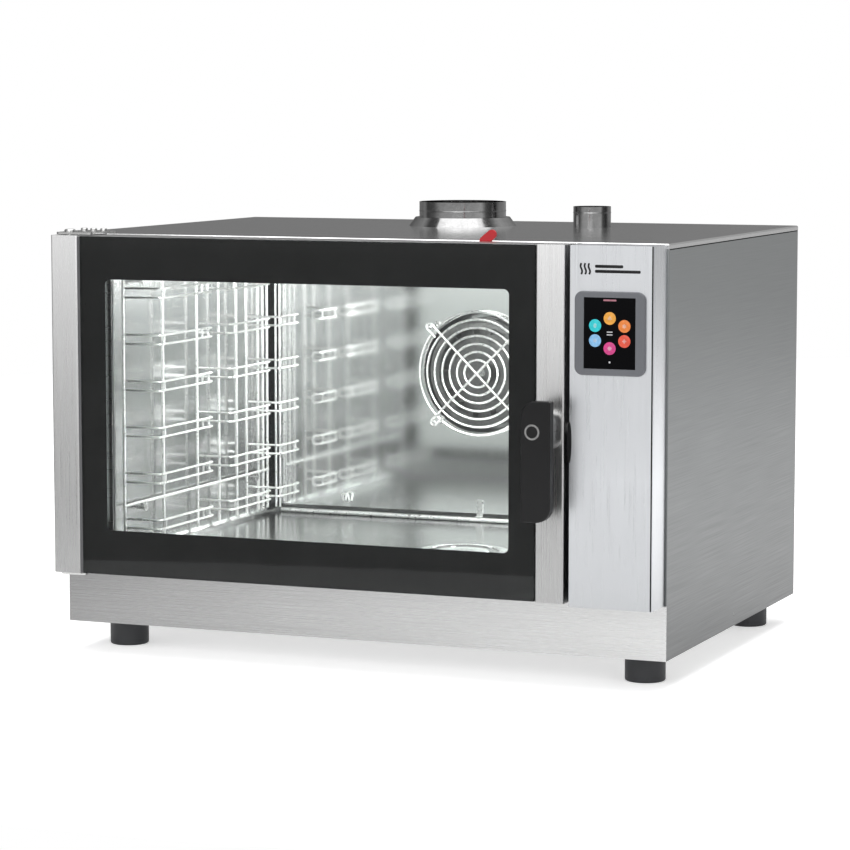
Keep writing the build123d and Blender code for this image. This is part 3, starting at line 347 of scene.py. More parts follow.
# ---- Making pieces ----
def piece(name, mesh, body, slot, material=None, smooth=True):
    """Puts a finished mesh into the scene as a piece of one CAD body."""
    obj = bpy.data.objects.new(name, mesh)
    bpy.context.scene.collection.objects.link(obj)
    mesh.materials.clear()
    mesh.materials.append(material or FINISH[slot])
    for face in mesh.polygons:
        face.use_smooth = smooth
        face.material_index = 0
    if smooth:
        mesh.set_sharp_from_angle(angle=radians(38))
    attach(obj, body)
    return obj


def mesh_from(shape, name):
    """A plain mesh from a bmesh, with its doubles merged and its faces turned outwards."""
    bmesh.ops.remove_doubles(shape, verts=shape.verts, dist=1e-7)
    bmesh.ops.recalc_face_normals(shape, faces=shape.faces)
    mesh = bpy.data.meshes.new(name)
    shape.to_mesh(mesh)
    shape.free()
    return mesh


def rounded_outline(x, z, radius, steps=6):
    """Corner points of a rounded rectangle, counter-clockwise in two coordinates."""
    points = []
    corners = ((x[1], z[1], 0), (x[0], z[1], 1), (x[0], z[0], 2), (x[1], z[0], 3))
    for cx, cz, quarter in corners:
        middle_x = cx - radius if cx == x[1] else cx + radius
        middle_z = cz - radius if cz == z[1] else cz + radius
        for step in range(steps + 1):
            angle = (quarter + step / steps) * pi / 2
            points.append((middle_x + radius * cos(angle), middle_z + radius * sin(angle)))
    return points


def turns(steps):
    """Equal angles once round the circle."""
    return [2 * pi * step / steps for step in range(steps)]


def disc_outline(x, z, radius, steps=40):
    """Points of a circle in two coordinates."""
    return [(x + radius * cos(angle), z + radius * sin(angle)) for angle in turns(steps)]


def skin(shape, rings, round_about=False):
    """Faces from each ring of points to the next; the ends are closed unless it runs round about."""
    nexts = rings[1:] + rings[:1] if round_about else rings[1:]
    for near, far in zip(rings, nexts):
        for i in range(len(near)):
            j = (i + 1) % len(near)
            shape.faces.new((near[i], near[j], far[j], far[i]))
    if not round_about:
        shape.faces.new(rings[0])
        shape.faces.new(rings[-1])


def slab(shape, outline, y_front, y_back, bevel=0.0):
    """A flat piece in the XZ plane with an eased front edge, added to a bmesh."""
    cx = sum(p[0] for p in outline) / len(outline)
    cz = sum(p[1] for p in outline) / len(outline)
    reach = max(((p[0] - cx) ** 2 + (p[1] - cz) ** 2) ** 0.5 for p in outline)
    ease = 1 - bevel / reach if bevel else 1
    rows = [(y_back, 1.0), (y_front + bevel, 1.0)]
    if bevel:
        rows += [(y_front + 0.3 * bevel, 1 - 0.3 * (1 - ease)), (y_front, ease)]
    skin(shape, [[shape.verts.new((cx + (px - cx) * k, y, cz + (pz - cz) * k)) for px, pz in outline]
                 for y, k in rows])


def turned(shape, centre, axis, profile, steps=32):
    """A turned piece from (distance along the axis, radius) pairs, closed at both ends."""
    axis = Vector(axis).normalized()
    across = axis.orthogonal().normalized()
    other = axis.cross(across)
    rings = []
    for along, radius in profile:
        middle = Vector(centre) + axis * along
        if radius < 1e-6:
            rings.append([shape.verts.new(middle)])
        else:
            rings.append([shape.verts.new(middle + (across * cos(angle) + other * sin(angle)) * radius)
                          for angle in turns(steps)])
    for near, far in zip(rings, rings[1:]):
        for i in range(steps):
            j = (i + 1) % steps
            corners = [near[i % len(near)], near[j % len(near)], far[j % len(far)], far[i % len(far)]]
            shape.faces.new(list(dict.fromkeys(corners)))
    for ring in (rings[0], rings[-1]):
        if len(ring) > 2:
            shape.faces.new(ring)


# ---- Geometry Nodes: wires, and things set out at points ----
def new_group(name, inputs):
    """An empty geometry group with named float, integer or material inputs."""
    group = bpy.data.node_groups.new(name, "GeometryNodeTree")
    face = group.interface
    face.new_socket("Geometry", in_out="INPUT", socket_type="NodeSocketGeometry")
    for label, kind in inputs:
        face.new_socket(label, in_out="INPUT", socket_type=kind)
    face.new_socket("Geometry", in_out="OUTPUT", socket_type="NodeSocketGeometry")
    return group, group.nodes.new("NodeGroupInput"), group.nodes.new("NodeGroupOutput")


def wire_group():
    """Paths in, bent wires out: the corners rounded, and a round section swept along."""
    group, start, end = new_group("bend_and_sweep_wire", [
        ("Wire Radius", "NodeSocketFloat"), ("Bend Radius", "NodeSocketFloat"),
        ("Sides", "NodeSocketInt"), ("Finish", "NodeSocketMaterial")])
    nodes, links = group.nodes, group.links
    fillet = nodes.new("GeometryNodeFilletCurve")
    fillet.mode = "POLY"
    fillet.inputs["Count"].default_value = 4
    fillet.inputs["Limit Radius"].default_value = True
    section = nodes.new("GeometryNodeCurvePrimitiveCircle")
    sweep = nodes.new("GeometryNodeCurveToMesh")
    sweep.inputs["Fill Caps"].default_value = True
    realize = nodes.new("GeometryNodeRealizeInstances")
    finish = nodes.new("GeometryNodeSetMaterial")
    links.new(start.outputs["Geometry"], fillet.inputs["Curve"])
    links.new(start.outputs["Bend Radius"], fillet.inputs["Radius"])
    links.new(start.outputs["Wire Radius"], section.inputs["Radius"])
    links.new(start.outputs["Sides"], section.inputs["Resolution"])
    links.new(fillet.outputs["Curve"], sweep.inputs["Curve"])
    links.new(section.outputs["Curve"], sweep.inputs["Profile Curve"])
    links.new(sweep.outputs["Mesh"], realize.inputs["Geometry"])
    links.new(realize.outputs["Geometry"], finish.inputs["Geometry"])
    links.new(start.outputs["Finish"], finish.inputs["Material"])
    links.new(finish.outputs["Geometry"], end.inputs["Geometry"])
    return group


def scatter_group():
    """Points in, one copy of a shape on each point out, each turned about Y by a random angle."""
    group, start, end = new_group("set_out_at_points", [
        ("Shape", "NodeSocketObject"), ("Size", "NodeSocketFloat"),
        ("Turn Spread", "NodeSocketFloat"), ("Seed", "NodeSocketInt"),
        ("Finish", "NodeSocketMaterial")])
    nodes, links = group.nodes, group.links
    info = nodes.new("GeometryNodeObjectInfo")
    info.transform_space = "ORIGINAL"
    spin = nodes.new("FunctionNodeRandomValue")
    spin.data_type = "FLOAT"
    turn = nodes.new("ShaderNodeCombineXYZ")
    put = nodes.new("GeometryNodeInstanceOnPoints")
    realize = nodes.new("GeometryNodeRealizeInstances")
    finish = nodes.new("GeometryNodeSetMaterial")
    least, most = [socket for socket in spin.inputs if socket.type == "VALUE"][:2]
    angle = next(socket for socket in spin.outputs if socket.type == "VALUE")
    least.default_value = 0.0
    links.new(start.outputs["Turn Spread"], most)
    links.new(start.outputs["Seed"], spin.inputs["Seed"])
    links.new(start.outputs["Shape"], info.inputs["Object"])
    links.new(angle, turn.inputs["Y"])
    links.new(start.outputs["Geometry"], put.inputs["Points"])
    links.new(info.outputs["Geometry"], put.inputs["Instance"])
    links.new(turn.outputs["Vector"], put.inputs["Rotation"])
    links.new(start.outputs["Size"], put.inputs["Scale"])
    links.new(put.outputs["Instances"], realize.inputs["Geometry"])
    links.new(realize.outputs["Geometry"], finish.inputs["Geometry"])
    links.new(start.outputs["Finish"], finish.inputs["Material"])
    links.new(finish.outputs["Geometry"], end.inputs["Geometry"])
    return group


WIRE_GROUP = wire_group()
SCATTER_GROUP = scatter_group()


def grown_mesh(name, source, group, values):
    """Runs a geometry group on some data, with its inputs set, and gives back a plain mesh."""
    obj = bpy.data.objects.new(name + "_source", source)
    bpy.context.scene.collection.objects.link(obj)
    modifier = obj.modifiers.new("grow", "NODES")
    modifier.node_group = group
    for socket in group.interface.items_tree:
        if socket.in_out == "INPUT" and socket.name in values:
            modifier[socket.identifier] = values[socket.name]
    bpy.context.view_layer.update()
    evaluated = obj.evaluated_get(bpy.context.evaluated_depsgraph_get())
    mesh = bpy.data.meshes.new_from_object(evaluated)
    obj.modifiers.remove(modifier)
    bpy.data.objects.remove(obj)
    mesh.name = name
    return mesh


def wires(name, paths, radius, bend, body, slot, sides=10, material=None):
    """Bent wires along paths; a path is (points, closed)."""
    curve = bpy.data.curves.new(name + "_paths", "CURVE")
    curve.dimensions = "3D"
    for points, closed in paths:
        spline = curve.splines.new("POLY")
        spline.points.add(len(points) - 1)
        for slot_point, point in zip(spline.points, points):
            slot_point.co = (*point, 1)
        spline.use_cyclic_u = closed
    finish = material or FINISH[slot]
    mesh = grown_mesh(name, curve, WIRE_GROUP, {
        "Wire Radius": radius, "Bend Radius": bend, "Sides": sides, "Finish": finish})
    return piece(name, mesh, body, slot, finish)


def set_out(name, shape_mesh, points, body, slot, size=1.0, turn=2 * pi, seed=3, material=None):
    """One copy of a small shape at each point, each turned at random about Y."""
    holder = bpy.data.objects.new(name + "_shape", shape_mesh)
    bpy.context.scene.collection.objects.link(holder)
    cloud = bpy.data.meshes.new(name + "_points")
    cloud.from_pydata([tuple(p) for p in points], [], [])
    finish = material or FINISH[slot]
    mesh = grown_mesh(name, cloud, SCATTER_GROUP, {
        "Shape": holder, "Size": size, "Turn Spread": turn, "Seed": seed, "Finish": finish})
    bpy.data.objects.remove(holder)
    return piece(name, mesh, body, slot, finish)


def screw_head(axis, radius, rise, socket=True):
    """A domed screw head with a recessed drive, standing at the origin and facing along an axis."""
    shape = bmesh.new()
    profile = [(-0.4 * rise, radius * 0.7), (0, radius), (rise * 0.35, radius),
               (rise * 0.75, radius * 0.82), (rise, radius * 0.5)]
    if socket:
        profile += [(rise, radius * 0.42), (rise * 0.35, radius * 0.36), (rise * 0.3, 0)]
    turned(shape, (0, 0, 0), axis, profile, 18)
    return mesh_from(shape, "screw_head")


# ---- Tray racks ----
POST_WIRE = 2.2 * MM
RAIL_WIRE = 1.7 * MM
POST_OFFSETS = [offset * MM for offset in (-241, -118, -6, 68, 130, 165, 207, 225, 241)]
LENGTHWISE_RISE = 60 * MM
LENGTHWISE_DROP = 6 * MM
LENGTHWISE_END = 3 * MM
FIRST_RAIL_RISE = 42 * MM
RAIL_PITCH = 66 * MM
RAIL_LEVELS = 6
RAIL_PAIR = 13 * MM
RAIL_SPANS = ((-241 * MM, 170 * MM), (-6 * MM, 136 * MM), (165 * MM, 70 * MM))
RAIL_SET_OFF = 3.5 * MM
RAIL_BEND = 5 * MM
HAIRPIN_BACK = 9 * MM
HAIRPIN_REACH = 7 * MM
LINK_SHARES = (0.1, 0.82)


def rack_paths(plane, reach, y_middle, z_foot, z_head):
    """Posts and lengthwise wires of one rack, then its hairpin rails, as wire paths."""
    posts = []
    for offset in POST_OFFSETS:
        y = y_middle + offset
        posts.append(([(plane, y, z_foot), (plane, y, z_head)], False))
    end = POST_OFFSETS[-1] + LENGTHWISE_END
    for z in (z_foot + LENGTHWISE_RISE, z_head - LENGTHWISE_DROP):
        posts.append(([(plane, y_middle - end, z), (plane, y_middle + end, z)], False))
    rails = []
    inward = 1 if reach > plane else -1
    root = plane + inward * RAIL_SET_OFF
    turn = reach - inward * HAIRPIN_BACK
    for level in range(RAIL_LEVELS):
        z = z_foot + FIRST_RAIL_RISE + level * RAIL_PITCH
        low = z - RAIL_PAIR
        for start, length in RAIL_SPANS:
            y0 = y_middle + start
            y1 = y0 + length
            tip = y1 + HAIRPIN_REACH
            way_out = [(root, y0), (reach, y0), (reach, y1), (turn, tip)]
            rails.append(([(x, y, z) for x, y in way_out] + [(x, y, low) for x, y in way_out[::-1]], False))
            for share in LINK_SHARES:
                y = y0 + share * length
                rails.append(([(reach, y, z), (reach, y, low)], False))
    return posts, rails


def tray_racks():
    """Both wire racks, the left one and its mirror image."""
    for side_name, place, inward in (("left", left_rack, 1), ("right", right_rack, -1)):
        wall_side = place.x0 if inward == 1 else place.x1
        tip_side = place.x1 if inward == 1 else place.x0
        plane = wall_side + inward * POST_WIRE
        reach = tip_side - inward * RAIL_WIRE
        posts, rails = rack_paths(plane, reach, place.y, place.z0, place.z1)
        body = side_name + "_rack"
        upright = wires(f"{body}_posts", posts, POST_WIRE, 0.0, body, "wire_steel")
        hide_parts(f"rack_{side_name}")
        wires(f"{body}_rails", rails, RAIL_WIRE, RAIL_BEND, body, "wire_steel", 8)


# ---- Fan guard ----
GUARD_WIRE = 2.0 * MM
GUARD_FIRST = 21.0 * MM
GUARD_PITCH = 12.3 * MM
GUARD_RINGS = 7
GUARD_EYE_REACH = 104.0 * MM
GUARD_EYE = 5.0 * MM
GUARD_ARM_START = 0.5 * MM
GUARD_ARM_TAIL = 86 * MM
GUARD_SET_OFF = 9.5 * MM
GUARD_RING_POINTS = 72


def fan_guard():
    """Seven rings under four arms, each arm bent round its own screw."""
    x, z = impeller.x, impeller.z
    y = baffle.y0 - GUARD_SET_OFF
    rings = []
    for ring in range(GUARD_RINGS):
        outline = disc_outline(x, z, GUARD_FIRST + ring * GUARD_PITCH, GUARD_RING_POINTS)
        rings.append(([(px, y, pz) for px, pz in outline], True))
    ringed = wires("fan_guard_rings", rings, GUARD_WIRE, 0.0, "root", "wire_steel", 8)
    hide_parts("fan_guard")
    arms, screws = [], []
    for quarter in range(4):
        angle = radians(45 + 90 * quarter)
        out, across = Vector((cos(angle), 0, sin(angle))), Vector((-sin(angle), 0, cos(angle)))
        centre = Vector((x, y - 2 * GUARD_WIRE, z))
        eye = 2 * GUARD_EYE
        tip = GUARD_EYE_REACH + GUARD_EYE
        legs = [(GUARD_ARM_START, 0), (tip, 0), (tip, eye), (GUARD_ARM_TAIL, eye)]
        arms.append(([tuple(centre + out * along + across * over) for along, over in legs], False))
        screws.append(centre + out * GUARD_EYE_REACH + across * GUARD_EYE)
    wires("fan_guard_arms", arms, GUARD_WIRE, GUARD_EYE * 0.96, "root", "wire_steel", 10)
    set_out("fan_guard_screws", screw_head((0, -1, 0), 4.2 * MM, 2.6 * MM), screws, "root", "turned_steel")
    stands = bmesh.new()
    for spot in screws:
        profile = [(-0.5 * MM, 2.4 * MM), (2 * MM, 2.6 * MM), (3 * MM, 3.6 * MM),
                   (baffle.y0 - spot.y, 3.6 * MM)]
        turned(stands, spot, (0, 1, 0), profile, 20)
    piece("fan_guard_stands", mesh_from(stands, "fan_guard_stands"), "root", "turned_steel")


# ---- Cavity details ----
def baffle_edge_wires():
    """Pairs of upright wires down both edges of the baffle, on which it hangs."""
    y = baffle.y0 - 4 * MM
    z0, z1 = baffle.z0 - 5 * MM, baffle.z1 + 4 * MM
    paths = []
    for x in (baffle.x0 - 2 * MM, baffle.x0 + 5 * MM, baffle.x1 - 5 * MM, baffle.x1 + 2 * MM):
        paths.append(([(x, y, z0), (x, y, z1)], False))
    wires("baffle_edge_wires", paths, 1.9 * MM, 0.0, "root", "wire_steel")


def baffle_hook():
    """Small wire loop welded low on the baffle, with which it is lifted out."""
    x, y, z = baffle.x0 + 118 * MM, baffle.y0 - 2 * MM, baffle.z0 + 14 * MM
    half, drop = 5 * MM, 12 * MM
    path = [(x - half, y, z - drop * 0.4), (x - half, y - 5 * MM, z + drop * 0.6),
            (x + half, y - 5 * MM, z + drop * 0.6), (x + half, y, z - drop * 0.4)]
    wires("baffle_lifting_loop", [(path, False)], 1.6 * MM, 4 * MM, "root", "wire_steel")


EMBOSSED_RING = 62 * MM
EMBOSSED_SECTION = [(out * MM, up * MM) for out, up in (
    (-9, 0.0), (-6, 0.7), (-3, 1.5), (0, 1.8), (3, 1.5), (6, 0.7), (9, 0.0), (9, -0.4), (-9, -0.4))]


def drain_embossing():
    """Shallow pressed ring in the cavity floor round the drain."""
    shape = bmesh.new()
    z = cavity.z0 + 2 * MM
    skin(shape, [[shape.verts.new((strainer.x + (EMBOSSED_RING + out) * cos(angle),
                                   strainer.y + (EMBOSSED_RING + out) * sin(angle), z + up))
                  for out, up in EMBOSSED_SECTION] for angle in turns(64)], round_about=True)
    piece("drain_embossing", mesh_from(shape, "drain_embossing"), "root", "polished_steel")


# ---- Display ----
MENU_COLOURS = (
    ("menu_top", (0.93, 0.42, 0.05)), ("menu_upper_left", (0.02, 0.66, 0.72)),
    ("menu_lower_left", (0.26, 0.55, 0.88)), ("menu_bottom", (0.74, 0.05, 0.27)),
    ("menu_lower_right", (0.88, 0.10, 0.05)), ("menu_upper_right", (0.90, 0.25, 0.04)))
MENU_RING_WIDE = 23.4 * MM
MENU_RING_HIGH = 19.8 * MM
MENU_DISC = 8.4 * MM
ICON_REACH = 3.0 * MM
ICON_LOBES = ((3, 0.35), (2, 0.3), (5, 0.4), (8, 0.18), (4, 0.45), (6, 0.28))
MARK_RISE = 0.25 * MM
MARK_SUNK = 0.1 * MM
BAR_HALF_WIDTH = 4 * MM
BAR_HALF_HEIGHT = 0.7 * MM
BAR_SET_OFF = 1.8 * MM
DOT_RADIUS = 1.3 * MM
DOT_RISE = 9 * MM
STATUS_HALF_WIDTH = 9 * MM
STATUS_TOP = 2.4 * MM
STATUS_FOOT = 4.6 * MM


def icon_outline(index, x, z):
    """A small rosette for each button, with its own number and depth of lobes."""
    lobes, depth = ICON_LOBES[index]
    points = []
    for angle in turns(48):
        reach = ICON_REACH * (1 - depth * (0.5 - 0.5 * cos(lobes * (angle - pi / 2))))
        points.append((x + reach * cos(angle), z + reach * sin(angle)))
    return points


def screen_mark(name, outline, material):
    """A flat lit mark that stands a hair proud of the screen."""
    shape = bmesh.new()
    slab(shape, outline, screen.y0 - MARK_RISE, screen.y0 + MARK_SUNK, 0.12 * MM)
    return piece(name, mesh_from(shape, name), "root", "screen_glass", material)


def display_menu():
    """Six round buttons with their signs, two short bars between them, a dot below and a bar above."""
    white = glowing("menu_white_light", (0.9, 0.9, 0.92), 0.7)
    for index, (name, colour) in enumerate(MENU_COLOURS):
        angle = pi / 2 + index * pi / 3
        x, z = screen.x + MENU_RING_WIDE * cos(angle), screen.z + MENU_RING_HIGH * sin(angle)
        screen_mark(name + "_button", disc_outline(x, z, MENU_DISC), glowing(name + "_light", colour, 0.95))
        pale = tuple(min(1.0, c * 0.6 + 0.32) for c in colour)
        icon_light = glowing(name + "_icon_light", pale, 0.95)
        shape = bmesh.new()
        slab(shape, icon_outline(index, x, z), screen.y0 - 2 * MARK_RISE, screen.y0 - 0.8 * MARK_RISE)
        piece(name + "_icon", mesh_from(shape, name + "_icon"), "root", "screen_glass", icon_light)
    bars = bmesh.new()
    middle = (screen.x - BAR_HALF_WIDTH, screen.x + BAR_HALF_WIDTH)
    marks = [rounded_outline(middle, (screen.z + rise - BAR_HALF_HEIGHT, screen.z + rise + BAR_HALF_HEIGHT),
                             0.6 * MM, 3) for rise in (-BAR_SET_OFF, BAR_SET_OFF)]
    for outline in marks + [disc_outline(screen.x, screen.z0 + DOT_RISE, DOT_RADIUS, 20)]:
        slab(bars, outline, screen.y0 - MARK_RISE, screen.y0 + MARK_SUNK, 0.1 * MM)
    piece("menu_small_marks", mesh_from(bars, "menu_small_marks"), "root", "screen_glass", white)
    status = rounded_outline((screen.x - STATUS_HALF_WIDTH, screen.x + STATUS_HALF_WIDTH),
                             (screen.z1 - STATUS_FOOT, screen.z1 - STATUS_TOP), 0.9 * MM, 3)
    screen_mark("menu_status_bar", status, glowing("menu_status_light", (0.75, 0.3, 0.38), 0.6))


EMBLEM_RISE = 22 * MM
WAVE_STEPS = 12
WAVE_STEP_HEIGHT = 1.2 * MM
WAVE_SWING = 1.1 * MM
WAVE_WIRE = 1.25 * MM
WAVE_FIRST = 8 * MM
WAVE_PITCH = 5.5 * MM
EMBLEM_LINES = ((27 * MM, 90 * MM, 2 * MM), (27 * MM, 66 * MM, 8.6 * MM))
EMBLEM_LINE_HEIGHT = 4.0 * MM


def panel_emblem():
    """Plain steam sign over the display: three rising waves beside two lines."""
    base = bezel.z1 + EMBLEM_RISE
    paths = []
    for wave in range(3):
        x = bezel.x0 + WAVE_FIRST + WAVE_PITCH * wave
        paths.append(([(x + WAVE_SWING * sin(2 * pi * step / WAVE_STEPS), panel.y0 - 0.2 * MM,
                        base + step * WAVE_STEP_HEIGHT) for step in range(WAVE_STEPS + 1)], False))
    wires("emblem_steam_waves", paths, WAVE_WIRE, 0.0, "root", "lever_black", 8)
    shape = bmesh.new()
    for start, end, rise in EMBLEM_LINES:
        outline = rounded_outline((bezel.x0 + start, bezel.x0 + end),
                                  (base + rise, base + rise + EMBLEM_LINE_HEIGHT), 1.6 * MM, 4)
        slab(shape, outline, panel.y0 - 0.3 * MM, panel.y0 + 0.1 * MM, 0.1 * MM)
    piece("emblem_lines", mesh_from(shape, "emblem_lines"), "root", "lever_black")


# ---- Outside fittings ----
def glass_edge_beads():
    """Grey seal strips that fill the gaps between the glass and the steel uprights."""
    shape = bmesh.new()
    for x0, x1 in ((column.x1 + 0.2 * MM, glass.x0 - 0.2 * MM), (glass.x1 + 0.1 * MM, trim.x0 - 0.1 * MM)):
        if x1 - x0 > 0.3 * MM:
            outline = rounded_outline((x0, x1), (glass.z0 + 1 * MM, glass.z1 - 1 * MM), (x1 - x0) * 0.45, 4)
            slab(shape, outline, glass.y0 + 0.8 * MM, glass.y1, 0.0)
    piece("glass_edge_beads", mesh_from(shape, "glass_edge_beads"), "door", "seal_grey")


EDGE_STRIP_HALF = 0.9 * MM
LIP_STRIP_HEIGHT = 1.5 * MM
LIP_STRIP_HALF = 0.12 * MM
LIP_STRIP_INSET = 3 * MM


def panel_edge_strips():
    """Black strips of painted shade down the panel's right edge and in the gap between the door and the
    panel.
    """
    shape = bmesh.new()
    # Painted shade: a black strip over the seam at the panel's right edge.
    edge = (panel.x1 - EDGE_STRIP_HALF, panel.x1 + EDGE_STRIP_HALF)
    slab(shape, rounded_outline(edge, (panel.z0, panel.z1), 0.8 * MM, 3),
         panel.y0 - 0.2 * MM, panel.y0 + 0.6 * MM)
    # Painted shade: a black strip deep in the gap between the door and the panel.
    gap = (trim.x1 + 0.6 * MM, panel.x0 - 0.4 * MM)
    slab(shape, rounded_outline(gap, (panel.z0, panel.z1), 0.8 * MM, 3),
         frame_sheet.y0 - 7 * MM, frame_sheet.y0 - 0.1 * MM)
    piece("panel_edge_strips", mesh_from(shape, "panel_edge_strips"), "root", "seal_grey", SHADE_STRIP_BLACK)


def cover_lip_seals():
    """Thin black strips of painted shadow under the cover's lip, one on each side."""
    # Painted shadow: a black strip just under each side of the cover's lip.
    lip = bmesh.new()
    y0, y1 = cover.y0 + LIP_STRIP_INSET, cover.y1 - LIP_STRIP_INSET
    z0, z1 = cover.z0 - LIP_STRIP_HEIGHT, cover.z0 + 0.1 * MM
    for x in (cover.x0 + 0.1 * MM, cover.x1 - 0.1 * MM):
        skin(lip, [[lip.verts.new((x + shift, y, z)) for y, z in ((y0, z0), (y0, z1), (y1, z1), (y1, z0))]
                   for shift in (-LIP_STRIP_HALF, LIP_STRIP_HALF)])
    piece("cover_lip_seals", mesh_from(lip, "cover_lip_seals"), "root", "seal_grey", SHADE_STRIP_BLACK, smooth=False)


LENS_HALF_WIDTH = 3.2 * MM
LENS_HEIGHT_SHARE = 0.84


def keeper_lens():
    """Slim lens-shaped nylon plate on the panel's left edge, where the latch enters."""
    keeper = Place("latch_keeper")
    half_height = keeper.height * LENS_HEIGHT_SHARE / 2
    outline = [(panel.x0 + 0.2 * MM + LENS_HALF_WIDTH * cos(angle), keeper.z + half_height * sin(angle))
               for angle in turns(48)]
    shape = bmesh.new()
    slab(shape, outline, panel.y0 - 0.5 * MM, panel.y0 + 2 * MM, 0.3 * MM)
    piece("keeper_lens", mesh_from(shape, "keeper_lens"), "root", "keeper_black")


TUBE_BEADS = (("flue_tube", 0.62), ("vent_tube", 0.70))
BEAD_SECTION = [(out * MM, up * MM) for out, up in (
    (-0.1, -1), (0.25, -0.6), (0.4, 0), (0.25, 0.6), (-0.1, 1))]


def tube_seams():
    """Rolled beads round the flue and the vent."""
    beads = bmesh.new()
    for node, share in TUBE_BEADS:
        tube = Place(node)
        radius = tube.width / 2
        z = cover.z1 + (tube.z1 - cover.z1) * share
        skin(beads, [[beads.verts.new((tube.x + (radius + out) * cos(angle),
                                       tube.y + (radius + out) * sin(angle), z + up))
                      for out, up in BEAD_SECTION] for angle in turns(64)], round_about=True)
    piece("tube_beads", mesh_from(beads, "tube_beads"), "root", "tube_steel")


BACK_SCREW_INSET = 14 * MM
SIDE_SCREW_RISE = 16 * MM
SIDE_SCREW_INSET = 60 * MM
SIDE_SCREW_SUNK = 1.2 * MM


def back_screws():
    """Screws along the head and the foot of the back panel, and down its sides."""
    x0, x1 = back.x0 + BACK_SCREW_INSET, back.x1 - BACK_SCREW_INSET
    z0, z1 = back.z0 + BACK_SCREW_INSET, back.z1 - BACK_SCREW_INSET
    points = [(x, back.y1, z) for x in (x0, back.x0 + back.width * 0.36, back.x0 + back.width * 0.66, x1)
              for z in (z0, z1)]
    points += [(x, back.y1, back.z0 + back.height * share) for x in (x0, x1) for share in (0.34, 0.66)]
    set_out("back_panel_screws", screw_head((0, 1, 0), 4.6 * MM, 2.4 * MM), points, "root", "turned_steel")


def side_screws():
    """Three flush screws low on each side panel."""
    for name, x, facing in (("right", cover.x1, 1), ("left", cover.x0, -1)):
        points = [(x - facing * SIDE_SCREW_SUNK, y, plinth.z0 + SIDE_SCREW_RISE)
                  for y in (cover.y0 + SIDE_SCREW_INSET, cover.y, cover.y1 - SIDE_SCREW_INSET)]
        set_out(f"{name}_side_screws", screw_head((facing, 0, 0), 4.2 * MM, 1.2 * MM), points, "root",
                "turned_steel", turn=0.0)


PLATE_WIDTH = 92 * MM
PLATE_HEIGHT = 58 * MM
PLATE_FROM_SIDE = 60 * MM
PLATE_RISE = 70 * MM
PLATE_PROUD = 0.8 * MM
PLATE_RULES = 6
RULE_PITCH = 7.5 * MM
RIVET_INSET = 4 * MM


def data_plate():
    """Riveted data plate on the back, with plain raised rules and no wording."""
    x0, z0 = back.x0 + PLATE_FROM_SIDE, back.z0 + PLATE_RISE
    x1, z1 = x0 + PLATE_WIDTH, z0 + PLATE_HEIGHT
    plate = bmesh.new()
    slab(plate, rounded_outline((x0, x1), (z0, z1), 4 * MM), back.y1 + PLATE_PROUD, back.y1 - 0.2 * MM)
    for row in range(PLATE_RULES):
        ends = (x0 + 9 * MM, x1 - (9 + 11 * (row % 3)) * MM)
        z = z1 - 10 * MM - row * RULE_PITCH
        slab(plate, rounded_outline(ends, (z - 1 * MM, z + 1 * MM), 0.9 * MM, 3),
             back.y1 + 1.1 * MM, back.y1 + 0.7 * MM)
    piece("data_plate", mesh_from(plate, "data_plate"), "root", "polished_steel")
    corners = [(x, back.y1 + PLATE_PROUD, z) for x in (x0 + RIVET_INSET, x1 - RIVET_INSET)
               for z in (z0 + RIVET_INSET, z1 - RIVET_INSET)]
    rivet = screw_head((0, 1, 0), 1.9 * MM, 1.1 * MM, False)
    set_out("data_plate_rivets", rivet, corners, "root", "turned_steel")


LOUVRE_ROWS = 8
LOUVRE_PITCH = 14 * MM
LOUVRE_START = 111.6 * MM
LOUVRE_FROM_SIDE = 59.5 * MM
LOUVRE_WIDTH = 82 * MM
HOOD_REACH = 3.2 * MM
HOOD_HEIGHT = 5.5 * MM
HOOD_SHEET = 0.8 * MM
HOOD_STATIONS = [-1 + 2 * step / 10 for step in range(11)]


def louvre_hood():
    """One pressed louvre, a quarter-round hood over its slot, facing back and down."""
    quarter = [pi / 2 * step / 5 for step in range(6)]
    section = [(HOOD_REACH * sin(angle), HOOD_HEIGHT * cos(angle)) for angle in quarter]
    section += [((HOOD_REACH - HOOD_SHEET) * sin(angle), (HOOD_HEIGHT - HOOD_SHEET) * cos(angle))
                for angle in quarter[::-1]]
    rings = []
    shape = bmesh.new()
    for share in HOOD_STATIONS:
        swell = min(1.0, (1 - abs(share)) * 9 + 0.06)
        rings.append([shape.verts.new((share * LOUVRE_WIDTH / 2, out * swell, up * (0.6 + 0.4 * swell)))
                      for out, up in section])
    skin(shape, rings)
    return mesh_from(shape, "louvre_hood")


def rear_louvres():
    """Pressed hoods over the vent slots behind the control bay."""
    spots = [(back.x1 - LOUVRE_FROM_SIDE, back.y1 - 0.1 * MM, back.z0 + LOUVRE_START + row * LOUVRE_PITCH)
             for row in range(LOUVRE_ROWS)]
    set_out("rear_louvres", louvre_hood(), spots, "root", "zinc_sheet", turn=0.0)


RIB_HALF_WIDTH = 5 * MM
RIB_RISE = 1.6 * MM
RIB_FROM_SIDE = 40 * MM
RIB_FROM_COVER = 50 * MM
RIB_SET_OFF = 12 * MM
RIB_SECTION = ((-1, 0), (-0.7, 0.25), (-0.35, 0.8), (0, 1), (0.35, 0.8), (0.7, 0.25), (1, 0))
RIB_STATIONS = (0.0, 0.02, 0.05, 0.5, 0.95, 0.98, 1.0)


